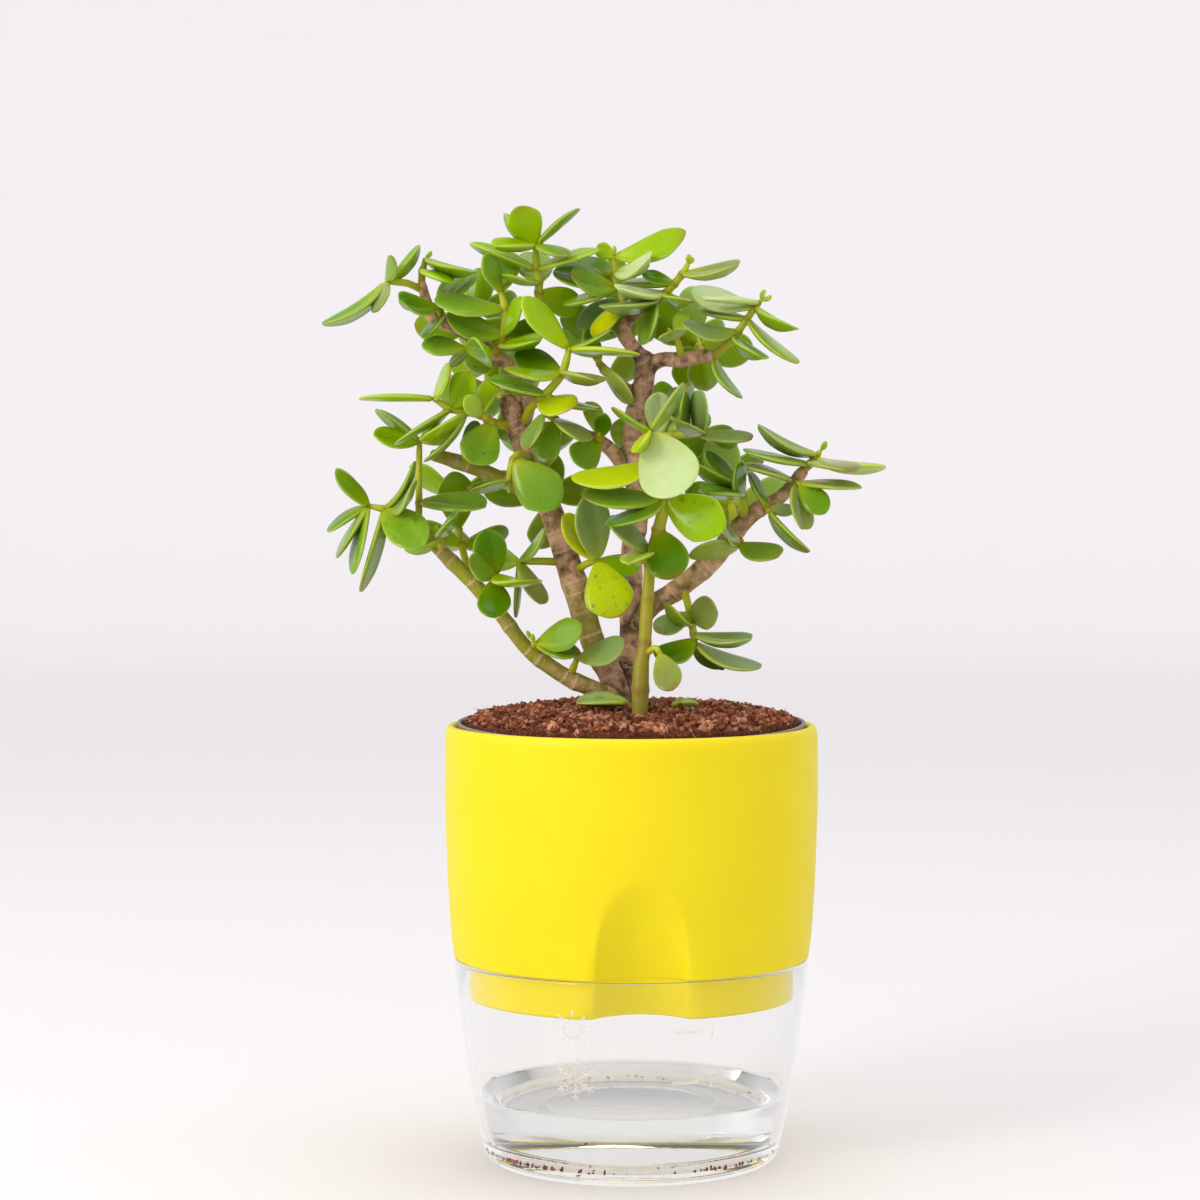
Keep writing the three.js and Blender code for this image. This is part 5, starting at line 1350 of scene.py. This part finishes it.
# %% Four blades
def blade(name, point, crease, cup, rounder, twist):
    """A blade from foot to tip, more or less pointed, creased, cupped, round and twisted."""
    rows, sides = 26, 20
    ts = 1 - (1 - np.linspace(0, 1, rows + 1)) ** 1.7
    angles = np.linspace(0, 2 * math.pi, sides, endpoint=False)
    rings, along, edge, upper = [[(-0.01, 0, 0)]], [0], [0], [0.5]
    for t in ts[1:-1]:
        full = t * math.sqrt(max(0, 1 - t)) / SPOON_PEAK
        oval = math.sqrt(max(0, 1 - ((t - 0.56) / (0.44 if t > 0.56 else 0.57)) ** 2))
        full = (1 - rounder) * full + rounder * oval
        full *= 1 - point * max(0, t - 0.7) * 1.6
        stalk = 0.15 + 0.1 * max(0, 0.16 - t) / 0.16
        half = 0.5 * (full**6 + stalk**6) ** (1 / 6) if t < 0.5 else 0.5 * full
        thick = 0.5 * (0.72 + 0.28 * math.sin(math.pi * min(1, t * 1.15)))
        thick *= (1 - max(0, (t - 0.72) / 0.28) ** 2.6) ** 0.5
        ring = []
        for a in angles:
            u = math.copysign(abs(math.cos(a)) ** 0.86, math.cos(a))
            w = math.copysign(abs(math.sin(a)) ** 0.9, math.sin(a))
            x = t + 0.012 * twist * math.sin(3 * a)
            z = thick * w * (0.86 if w < 0 else 1.0)
            bend = cup * (abs(u) ** 2.0) * full
            bend -= crease * math.exp(-(u / 0.24) ** 2) * min(1, 4 * t * (1.05 - t))
            y = u * half + 0.03 * twist * math.sin(2.6 * t + 1) * full
            ring.append((x, y, z + bend + twist * 0.35 * u * math.sin(2.2 * t)))
            along.append(t)
            edge.append(abs(math.cos(a)))
            upper.append(0.5 + 0.5 * math.sin(a))
        rings.append(ring)
    rings.append([(1.0, 0, cup * 0.15)])
    along.append(1)
    edge.append(1)
    upper.append(0.5)
    shape = skin(name, [[tuple(1 / MM * c for c in p) for p in ring] for ring in rings])
    for label, values in (("along", along), ("edge", edge), ("upper", upper)):
        note(shape, label, values)
    return shape


BLADES = box_of_shapes("blades", [
    blade("blade_1_plain", 0.1, 0.0, 0.22, 0.35, 0.25), blade("blade_2_pointed", 0.55, 0.1, 0.1, 0.2, -0.3),
    blade("blade_3_creased", 0.15, 0.5, 0.35, 0.4, 0.15), blade("blade_4_round", 0.0, 0.12, 0.4, 0.7, -0.15)])

# %% [markdown]
# ### A tree that grows the leaves of a shoot
# Each leaf is one point that carries its turn, size, kind and colours. The node tree puts the blade of
# that kind on each point, makes the copies real, and then bows each blade along its length. Bowing is
# done after the copies are real, because a copy can only be turned and scaled, not bent.


# %% Leaf tree
def leaf_tree():
    tree, given = new_tree("GeometryNodeTree", "Leaves on a shoot", [
        ("Geometry", GEOMETRY), ("Blades", "NodeSocketCollection"), ("Bow", FLOAT),
        ("Finish", "NodeSocketMaterial")], [("Geometry", GEOMETRY)])
    cloud = put(tree, "GeometryNodeMeshToPoints", {"Mesh": given["Geometry"]})
    laid = put_shapes(tree, cloud.outputs[0], given["Blades"], {
        "Instance Index": named(tree, "kind", "INT"), "Rotation": named(tree, "turn", "FLOAT_VECTOR"),
        "Scale": named(tree, "size", "FLOAT_VECTOR")})
    real = put(tree, "GeometryNodeRealizeInstances", {"Geometry": laid})
    t = named(tree, "along")
    hump = maths(tree, "MULTIPLY", t, maths(tree, "SUBTRACT", 1.0, t))
    rise = put(tree, "ShaderNodeVectorMath", {
        0: named(tree, "lift", "FLOAT_VECTOR"), "Scale": maths(tree, "MULTIPLY", hump, given["Bow"])},
        operation="SCALE").outputs[0]
    bent = put(tree, "GeometryNodeSetPosition", {"Geometry": real.outputs[0], "Offset": rise})
    soft = put(tree, "GeometryNodeSetShadeSmooth", {0: bent.outputs[0]})
    return dressed(tree, soft.outputs[0], given["Finish"])


LEAF_TREE = leaf_tree()
print("tree ready:", LEAF_TREE.name)

# %% [markdown]
# ### A tree that draws a stem along its path
# A twig is a row of points with a radius at each. The tree turns the row into a curve and runs a round
# profile along it. Swellings where leaves stand, and the thinner tip, are simply larger and smaller
# radii in the row, so the tree stays short.


# %% Stem tree
def stem_tree():
    tree, given = new_tree("GeometryNodeTree", "Stem along a path", [
        ("Geometry", GEOMETRY), ("Sides", "NodeSocketInt"), ("Finish", "NodeSocketMaterial")],
        [("Geometry", GEOMETRY)])
    curve = put(tree, "GeometryNodeMeshToCurve", {"Mesh": given["Geometry"]})
    thick = put(tree, "GeometryNodeSetCurveRadius", {
        "Curve": curve.outputs[0], "Radius": named(tree, "girth")})
    ring = put(tree, "GeometryNodeCurvePrimitiveCircle", {"Resolution": given["Sides"], "Radius": 1.0})
    tube = put(tree, "GeometryNodeCurveToMesh", {
        "Curve": thick.outputs[0], "Profile Curve": ring.outputs[0], "Fill Caps": True})
    if "Scale" in tube.inputs:
        tree.links.new(named(tree, "girth"), tube.inputs["Scale"])
    soft = put(tree, "GeometryNodeSetShadeSmooth", {0: tube.outputs[0]})
    real = put(tree, "GeometryNodeRealizeInstances", {"Geometry": soft.outputs[0]})
    return dressed(tree, real.outputs[0], given["Finish"])


STEM_TREE = stem_tree()


def tube(name, points, radii, sides, finish, **kept):
    """A stem with a blunt round end, through points in millimetres."""
    edges = [(i, i + 1) for i in range(len(points) - 1)]
    mesh = bpy.data.meshes.new(name)
    mesh.from_pydata((np.asarray(points) * MM).tolist(), edges, [])
    made = bpy.data.objects.new(name, mesh)
    bpy.context.collection.objects.link(made)
    note(made, "girth", np.asarray(radii) * MM)
    for label, values in kept.items():
        note(made, label, values)
    return run_tree(made, STEM_TREE, {"Sides": sides, "Finish": finish})


def closed_end(points, radii):
    """The path with a few more points that round its far end off."""
    ahead = unit(points[-1] - points[-2])
    extra = [points[-1] + ahead * radii[-1] * 0.7 * math.sin(a) for a in (0.5, 1.0, 1.4)]
    return np.vstack([points, extra]), np.append(radii, [radii[-1] * math.cos(a) for a in (0.5, 1.0, 1.4)])


print("tree ready:", STEM_TREE.name)

# %% [markdown]
# ## The shoots
# Every shoot is one piece: its twig, its leaves and a pair or two of tiny new leaves at the tip. Colours
# are told in plain words, leaf by leaf where the photograph shows them, and by chance behind, where the
# tones are darker as painted shade inside the crown. A word stands for a tone from dark to yellow, how much
# pale grey lies over it, partly bloom and partly painted sheen, and how faded it is.

# %% Leaf colours
# Each word is a tone, how much pale grey lies over the leaf (partly bloom, partly painted sheen) and how
# faded it is
WORDS = {"dark": (0.14, 0, 0), "mid": (0.38, 0.05, 0), "bright": (0.58, 0, 0), "light": (0.72, 0.15, 0),
         "yellow": (0.9, 0, 0), "lime": (0.78, 0, 0), "grey": (0.62, 0.85, 0), "olive": (0.42, 0.1, 0.75),
         "dull": (0.26, 0.25, 0.25)}
TOLD = {
    "front": "grey lime mid dark bright dark dull light lime", "round_leaf": "mid dark",
    "trunk_yellow": "lime yellow dull", "yellow_stalk": "bright lime olive lime mid dark bright mid",
    "left_reach": "bright bright bright grey bright light mid bright mid mid",
    "far_left": "mid mid mid dull", "left_crown": "mid mid bright",
    "left_crown_middle": "mid mid grey mid bright bright dark",
    "top": "bright bright mid bright bright mid bright", "left_fork": "dark mid dark",
    "left_under": "mid dull", "centre_crown": "bright bright grey dark mid bright yellow dark dark",
    "centre_right_crown": "olive dark mid grey mid dull mid",
    "right_crown": "grey mid bright mid dull mid grey mid yellow", "right_crown_inner": "dull mid light",
    "inner_fork": "olive dark", "left_upright": "bright light mid",
    "left_drooping": "mid mid mid mid mid dull", "side_stub": "grey dull", "inner_left": "mid olive",
    "inner_middle": "mid light dark", "grey_green": "grey dull mid dull dull dull lime",
    "right_inner": "mid dark dark", "right_tip": "dull light olive mid",
    "right_tip_low": "olive olive olive", "right_arm": "dark dull dark", "right_elbow": "mid dull olive",
    "right_hanging": "dull dull dark mid olive dull", "front_drop": "olive", "trunk_left": "mid olive dark",
    "low_left": "dark mid bright dark", "low_stub": "mid dark", "low_upright": "dull",
    "left_arm_buds": "dark",
}
SPECKLED = {("spray_trunk_yellow", 0), ("spray_left_reach", 9), ("spray_front_drop", 0),
            ("spray_inner_left", 0)}
colours = Chance(77)


def leaf_words(shoot, index):
    told = TOLD.get(shoot["name"].removeprefix("spray_"), "").split()
    tone, bloom_and_sheen, fade = WORDS[told[index]] if index < len(told) else (None, 0, 0)
    if tone is None:
        behind = index >= len(shoot["leaves"])
        # Leaves behind get darker tones: painted shade inside the crown
        tone = colours.draw(0.16, 0.48) if behind else colours.draw(0.22, 0.66)
        bloom_and_sheen = colours.draw(0, 0.3) if colours.draw(0, 1) > 0.7 else 0.0
    return tone + colours.draw(-0.04, 0.04), bloom_and_sheen, fade


# %% Leaves and buds of a shoot
def euler(leaf):
    turn = Matrix((leaf["along"], np.cross(leaf["normal"], leaf["along"]), leaf["normal"])).transposed()
    return turn.to_euler()


def leaf_rows(shoot):
    """One row for each leaf: where, turn, size, lift, kind, tone, bloom and sheen, blush, spots and fade."""
    rows = []
    for index, leaf in enumerate(shoot["grown"]):
        if leaf is None:
            continue
        tone, bloom_and_sheen, fade = leaf_words(shoot, index)
        ratio = leaf["width"] / leaf["length"]
        kind = 3 if ratio > 0.78 else int(colours.draw(0, 2.999))
        size = (leaf["length"], leaf["width"], LEAF_THICKNESS * (0.85 + 0.012 * leaf["length"]))
        lift = leaf["normal"] * leaf["bow"] * leaf["length"]
        blush = 1.0 if colours.draw(0, 1) > 0.72 else 0.0
        spots = colours.draw(0.3, 0.9) if colours.draw(0, 1) > 0.75 else 0.0
        spots = 1.0 if (shoot["name"], index) in SPECKLED else spots
        rows.append((leaf["base"], euler(leaf), size, lift, kind, tone, bloom_and_sheen, blush, spots, fade))
    points = shoot["points"]
    along, across, side = frames_along(points)[-1]
    start = colours.draw(0, math.pi)
    newest = ((3.0, 26),) if shoot["leaves"] else ((6.2, 40), (4.0, 20))
    for pair, (length, opened) in enumerate(newest):
        for half in (0, 1):
            angle = start + pair * math.pi / 2 + half * math.pi
            out = across * math.cos(angle) + side * math.sin(angle)
            heading = along * math.cos(math.radians(opened)) + out * math.sin(math.radians(opened))
            foot = points[-1] + along * (0.5 + 0.5 * pair)
            tip = foot + heading * length * colours.draw(0.8, 1.15)
            bud = make_leaf(foot, tip, length * 0.5, along, -0.12)
            if is_clear(bud, leaf_samples(bud), shoot["name"], taken):
                rows.append((bud["base"], euler(bud), (bud["length"], bud["width"], 1.5),
                             bud["normal"] * -0.12 * bud["length"], 0, 0.66, 0.1, 0.4, 0, 0))
    return rows


def leaf_points(name, rows):
    mesh = bpy.data.meshes.new(name)
    mesh.from_pydata([tuple(row[0] * MM) for row in rows], [], [])
    made = bpy.data.objects.new(name, mesh)
    bpy.context.collection.objects.link(made)
    for label, column, scale in (("turn", 1, 1), ("size", 2, MM), ("lift", 3, MM)):
        layer = mesh.attributes.new(label, "FLOAT_VECTOR", "POINT")
        values = np.array([tuple(row[column]) for row in rows], np.float32) * scale
        layer.data.foreach_set("vector", values.ravel())
    kinds = mesh.attributes.new("kind", "INT", "POINT")
    kinds.data.foreach_set("value", np.array([row[4] for row in rows], np.int32))
    for label, column in (("tone", 5), ("bloom_and_sheen", 6), ("blush", 7), ("spots", 8), ("fade", 9)):
        note(made, label, [row[column] for row in rows])
    return run_tree(made, LEAF_TREE, {"Blades": BLADES, "Bow": 4.0, "Finish": LEAF})


def twig(shoot):
    """The shoot's own stem, thicker where its leaves stand and greener towards its tip."""
    _, points, radii = smooth_path(shoot["twig"], 10)
    feet = np.array([leaf["base"] for leaf in shoot["grown"] if leaf is not None])
    near = np.array([np.exp(-(np.linalg.norm(feet - p, axis=1).min() / 0.75) ** 2) for p in points])
    radii = radii * (0.92 + 0.2 * near)
    last = np.linalg.norm(points - points[-1], axis=1)
    points, radii = closed_end(points, radii * np.interp(last, (0, 3), (0.72, 1)))
    near = np.append(near, [0, 0, 0])
    run = np.append(0, np.cumsum(np.linalg.norm(np.diff(points, axis=0), axis=1)))
    old = np.clip(0.8 - run / max(10, run[-1]) * 1.6, 0, 1)
    return tube(shoot["name"] + "_twig", points, radii, 12, YOUNG, run=run, joint=near * 0.8, old=old)


sprays = {}
for shoot in SHOOTS:
    leaves = leaf_points(shoot["name"] + "_leaves", leaf_rows(shoot))
    sprays[shoot["name"]] = joined([leaves, twig(shoot)], "leafy_" + shoot["name"])
print("shoots:", len(sprays), "with", sum(triangles(s) for s in sprays.values()), "triangles")

# %% [markdown]
# ## Woody stems
# The real trunk and branches are grown together, with swollen forks and ring-shaped scars. Tubes that
# only push through each other would show hard creases at every fork. So each stem is first drawn as a
# tube with its scars, then all are melted into one skin with a voxel remesh and smoothed. The remesh
# forgets every attribute, so the way along the nearest stem is written back afterwards.


# %% Wood
def scarred(rows, spacing, phase):
    """A fine path with ring scars: a low ridge round the stem at every old pair of leaves."""
    _, points, radii = smooth_path(rows, 14)
    run = np.append(0, np.cumsum(np.linalg.norm(np.diff(points, axis=0), axis=1)))
    place = (run + phase + 1.6 * np.sin(run * 0.23 + phase)) / spacing
    ridge = np.exp(-((place - np.round(place)) * spacing / 0.45) ** 2)
    knot = np.exp(-((place - np.round(place)) * spacing / 2.2) ** 2)
    swell = np.sin(run * 0.13 + 2 * phase)
    return points, radii * 0.97 + 0.24 + 0.17 * ridge + 0.14 * swell + 0.18 * knot, run, ridge


def melt(parts, name, voxel, rounds):
    """Several closed meshes as one skin."""
    whole = joined(parts, name)
    grid = whole.modifiers.new("voxels", "REMESH")
    grid.mode, grid.voxel_size, grid.use_smooth_shade = "VOXEL", voxel * MM, True
    soft = whole.modifiers.new("soft", "SMOOTH")
    soft.factor, soft.iterations = 0.5, rounds
    return plain(whole, name)


paths = [scarred(rows, 12.5, 1.3 * k) for k, rows in enumerate(WOOD)]
rods = []
for k, (points, radii, run, ridge) in enumerate(paths):
    tipped = closed_end(points, radii)
    rods.append(tube(f"branch_{k}", *tipped, 20, BARK))
wood = melt(rods, "woody_stems", 0.5, 5)
wood.data.materials.clear()
wood.data.materials.append(BARK)
centres = np.vstack([points for points, *_ in paths])
runs = np.concatenate([run + 37 * k for k, (_, _, run, _) in enumerate(paths)])
ridges = np.concatenate([ridge for *_, ridge in paths])
# How green each stem is: the low left and the side stems keep a thin green skin
GREEN = (0.1, 0.0, 0.3, 0.2, 0.35, 0.3, 0.5, 1.2, 0.2, 1.1)
greens = np.concatenate([np.full(len(points), GREEN[k]) for k, (points, *_) in enumerate(paths)])
# The left trunk has a green patch 160 mm up, and the greenest stems turn brown towards the soil
patch = np.exp(-((centres[:, 2] - 160) / 12) ** 2) * (np.arange(len(centres)) < len(paths[0][0]))
greens = np.clip(greens + 0.9 * patch, 0, 1.1)
greens -= 0.5 * (greens > 0.9) * np.clip((150 - centres[:, 2]) / 16, 0, 1)
tree = kdtree.KDTree(len(centres))
for k, centre in enumerate(centres):
    tree.insert(centre, k)
tree.balance()
nearest = np.array([tree.find(p)[1] for p in places(wood)])
note(wood, "run", runs[nearest])
note(wood, "joint", ridges[nearest] * 0.8)
note(wood, "young", greens[nearest])
# Where two stems meet, the groove between them is darkened: painted shade in the crease
to_each = []
for points, radii, *_ in paths:
    tree = kdtree.KDTree(len(points))
    for k, point in enumerate(points):
        tree.insert(point, k)
    tree.balance()
    found = [tree.find(p)[1:] for p in places(wood)]
    to_each.append([away - radii[k] for k, away in found])
two = np.sort(np.array(to_each), axis=0)[:2]
note(wood, "crease_shade", np.exp(-((two[1] - two[0]) / 0.7) ** 2) * (two[1] > 0.1))
print("woody stems:", triangles(wood), "triangles")

# %% Green stem in front
_, points, radii = smooth_path(FRONT_STEM, 14)
run = np.append(0, np.cumsum(np.linalg.norm(np.diff(points, axis=0), axis=1)))
# Old pairs of leaves have left knots this far up
knots = np.array([26.0, 39.5, 52.0, 62.0])
near = np.exp(-(np.abs(run[:, None] - knots).min(axis=1) / 0.8) ** 2)
radii = radii * (0.96 + 0.14 * near) + 0.12 * np.sin(run * 0.3)
points, radii = closed_end(points, radii)
run, near = np.append(run, [65, 65.5, 66]), np.append(near, [0, 0, 0])
old = np.clip(1.15 - run / 52, 0, 1)
front_stem = tube("thick_green_stem", points, radii, 28, GREEN_STEM, run=run, joint=near * 0.7, old=old)
print("green stem:", triangles(front_stem), "triangles")

# %% [markdown]
# ## Soil on top, and what has dropped
# The crumbs leave room at the stems, so a 'bare' value on the bed is zero there. A few bits have fallen
# past the pots and lie on the reservoir's floor, against its wall. Two leaves lie on the soil.

# %% Crumbs and fibres
bed_points = places(soil_bed)
stem_line = np.vstack([points for points, *_ in paths] + [smooth_path(FRONT_STEM, 14)[1]])
stem_line = stem_line[(stem_line[:, 2] > 122) & (stem_line[:, 2] < 142)]
to_stem = np.sqrt(((bed_points[:, None] - stem_line[None]) ** 2).sum(-1)).min(1)
on_top = (bed_points[:, 2] > 124) & (np.hypot(bed_points[:, 0], bed_points[:, 1]) < 48.2)
note(soil_bed, "bare", on_top & (to_stem > 4.6))


def only_bits(surface, name, bits, count, smallest, largest, tumble, seed):
    """Bits scattered over a copy of the surface, count to the square metre, without the copy itself."""
    thing = surface.copy()
    thing.data, thing.name = surface.data.copy(), name
    bpy.context.collection.objects.link(thing)
    return run_tree(thing, scatter, {
        "Bits": bits, "Count": count, "Smallest": smallest, "Largest": largest, "Tumble": tumble,
        "Seed": seed, "Finish": CRUMB})


crumbs = only_bits(soil_bed, "coir_crumbs", crumb_box, 1000000.0, 0.5, 1.9, 1.4, 4)
fibres = only_bits(soil_bed, "coir_fibres", fibre_box, 60000.0, 0.5, 1.15, 0.45, 9)
loose_soil = joined([crumbs, fibres], "loose_coir")
print("loose coir:", triangles(loose_soil), "triangles")


# %% Bits on the reservoir's floor
def ledge():
    """The ring of floor that the fallen bits lie on, thickest towards the front left and right."""
    sides, height = 120, 4.1
    angles = np.linspace(0, 2 * math.pi, sides, endpoint=False)
    rings = turn_rings([(r, height) for r in (35, 37, 38.6, 39.8, 40.6)], angles)
    faces = [(k * sides + sides + j, k * sides + sides + (j + 1) % sides, k * sides + (j + 1) % sides,
              k * sides + j) for k in range(len(rings) - 1) for j in range(sides)]
    made = mesh_object("ledge", [p for ring in rings for p in ring], faces)
    spots = places(made)
    angle = np.degrees(np.arctan2(spots[:, 0], -spots[:, 1]))
    heap = np.exp(-((angle + 52) / 26) ** 2) + 0.7 * np.exp(-((angle - 44) / 20) ** 2) + 0.05
    outwards = np.clip((np.hypot(spots[:, 0], spots[:, 1]) - 34) / 5, 0, 1)
    note(made, "bare", heap * (0.15 + outwards))
    return made


shelf = ledge()
dropped = only_bits(shelf, "dropped_bits", crumb_box, 1000000.0, 0.3, 1.2, 1.4, 6)
bpy.data.objects.remove(shelf)
print("dropped bits:", triangles(dropped), "triangles")

# %% Fallen leaves
# Name, place, heading, length, width, tone, lean towards the front, and how deep it lies in the crumbs
FALLEN = [("fallen_leaf_left", (-8.4, -24), 176, 15.2, 9.4, 0.36, 0.34, 0.5),
          ("fallen_leaf_right", (15.6, -15), 8, 8, 4.6, 0.62, 0.02, 0.9)]


def fallen_leaf(name, at, heading, length, width, tone, lean, deep):
    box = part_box(name)
    middle = np.array([(a + b) / 2 / MM for a, b in zip(*box)])
    low = box[0][2] / MM
    along = np.array((math.cos(math.radians(heading)), math.sin(math.radians(heading)), 0.0))
    up = np.array((0, -lean, 1.0))
    base = np.array((at[0], at[1], low + 1.2 + 0.2 * width - deep)) - along * length / 2
    leaf = make_leaf(base, base + along * length, width, up, 0.05)
    row = (base, euler(leaf), (length, width, LEAF_THICKNESS), leaf["normal"] * 0.05 * length, 2, tone,
           0.3, 1.0, 0.9, 0.2)
    made = leaf_points(name, [row])
    made.name = "dropped_" + name
    print(name, "lies at", middle.round(1))
    return made


fallen = {row[0]: fallen_leaf(*row) for row in FALLEN}

# %% [markdown]
# ## Level marks
# The reservoir carries two water marks, a sun above and a snowflake below, each with a short bar and a
# number. They are printed on the wall. Each mark is drawn flat, then every point is wrapped round the
# wall at its height, a hair outside it.


# %% Marks
def flat_shape(name, outlines, step=0.8):
    """Filled outlines in a plane, cut finely enough to follow a curved wall."""
    form = bmesh.new()
    for outline in outlines:
        form.faces.new([form.verts.new((x, y, 0)) for x, y in outline])
    bmesh.ops.triangulate(form, faces=form.faces[:])
    for _ in range(6):
        long = [e for e in form.edges if e.calc_length() > step]
        if not long:
            break
        bmesh.ops.subdivide_edges(form, edges=long, cuts=1)
        bmesh.ops.triangulate(form, faces=form.faces[:])
    mesh = bpy.data.meshes.new(name)
    form.to_mesh(mesh)
    form.free()
    return np.array([v.co for v in mesh.vertices]), [tuple(f.vertices) for f in mesh.polygons]


def bar(x, y, length, width, turn=0.0):
    c, s = math.cos(turn), math.sin(turn)
    corners = ((0, -width / 2), (length, -width / 2), (length, width / 2), (0, width / 2))
    return [(x + a * c - b * s, y + a * s + b * c) for a, b in corners]


def sun(x, y):
    ring = [bar(x + 2.5 * math.cos(a), y + 2.5 * math.sin(a), 0.86, 0.55, a + math.pi / 2)
            for a in np.linspace(0, 2 * math.pi, 20)[:-1]]
    rays = [bar(x + 3.7 * math.cos(a), y + 3.7 * math.sin(a), 1.8, 0.75, a)
            for a in np.linspace(0, 2 * math.pi, 9)[:-1]]
    return ring + rays


def snowflake(x, y):
    out = []
    for arm in np.linspace(0, 2 * math.pi, 7)[:-1] + math.pi / 6:
        out.append(bar(x + 0.3 * math.cos(arm), y + 0.3 * math.sin(arm), 6.0, 0.62, arm))
        for reach in (2.7, 4.4):
            for lean in (-0.9, 0.9):
                out.append(bar(x + reach * math.cos(arm), y + reach * math.sin(arm), 1.5, 0.5, arm + lean))
    return out


def numeral(text, x, y, size):
    """A plain figure from the built-in font, as triangles."""
    letters = bpy.data.curves.new("figure_" + text, "FONT")
    letters.body, letters.size = text, size
    thing = bpy.data.objects.new("figure_" + text, letters)
    bpy.context.collection.objects.link(thing)
    mesh = thing.evaluated_get(bpy.context.evaluated_depsgraph_get()).to_mesh()
    points = np.array([(v.co.x + x, v.co.y + y, 0) for v in mesh.vertices])
    faces = [tuple(f.vertices) for f in mesh.polygons]
    bpy.data.objects.remove(thing)
    return points, faces


def wrapped(name, drawings):
    """All drawings wrapped on the reservoir's wall and given a little thickness."""
    points, faces = [], []
    for flat, cells in drawings:
        faces += [tuple(i + len(points) for i in cell) for cell in cells]
        points += list(flat)
    out = []
    for x, z, _ in points:
        wall = float(at_height(RESERVOIR_SIDE, z)) + 0.03
        out.append((wall * math.sin(x / wall), -wall * math.cos(x / wall), z))
    made = mesh_object(name, out, faces)
    form = bmesh.new()
    form.from_mesh(made.data)
    for face in form.faces:
        if face.normal.dot(Vector((face.calc_center_median().x, face.calc_center_median().y, 0))) < 0:
            face.normal_flip()
    form.to_mesh(made.data)
    form.free()
    wall = made.modifiers.new("ink", "SOLIDIFY")
    wall.thickness, wall.offset = 0.12 * MM, 1.0
    return plain(made)


marks = wrapped("level_marks", [
    flat_shape("sun", sun(-16.9, 46.3)), flat_shape("snow", snowflake(-15.9, 31.6)),
    flat_shape("upper_bar", [bar(11.4, 45.5, 8.6, 1.0)]),
    flat_shape("lower_bar", [bar(11.4, 30.9, 8.6, 1.0)]),
    numeral("1", 22.3, 43.9, 5.6), numeral("2", 22.3, 29.3, 5.6)])
print("marks:", triangles(marks), "triangles")

# %% [markdown]
# ## Bringing it together
# Every piece gets its finish, where it has one here, and rides on the one body. The solids of the frame
# that it stands for are hidden.

# %% Finish and place every piece
PIECES = [
    (reservoir, CLEAR, ["reservoir"], "clear_plastic"), (water, WATER, ["water"], "water"),
    (yellow_pot, YELLOW, ["outer_pot"], "yellow_plastic"), (nursery_pot, GREY, ["grow_pot"], "grey_plastic"),
    (soil_bed, SOIL, ["soil"], "soil"), (loose_soil, None, [], "soil"), (dropped, None, [], "soil"),
    (wood, None, ["wood"], "woody_stem"), (front_stem, None, ["front_stem"], "green_stem"),
    (marks, PRINT, [], "clear_plastic"),
]
PIECES += [(spray, None, [node], "leaf") for node, spray in sprays.items()]
PIECES += [(leaf, None, [node], "leaf") for node, leaf in fallen.items()]
for piece, finish, nodes, slot in PIECES:
    if finish:
        piece.data.materials.clear()
        piece.data.materials.append(finish)
    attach(piece, "root")
    if nodes:
        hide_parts(*nodes)
total = sum(triangles(piece) for piece, *_ in PIECES)
print(len(PIECES), "pieces,", total, "triangles; largest", max(triangles(piece) for piece, *_ in PIECES))
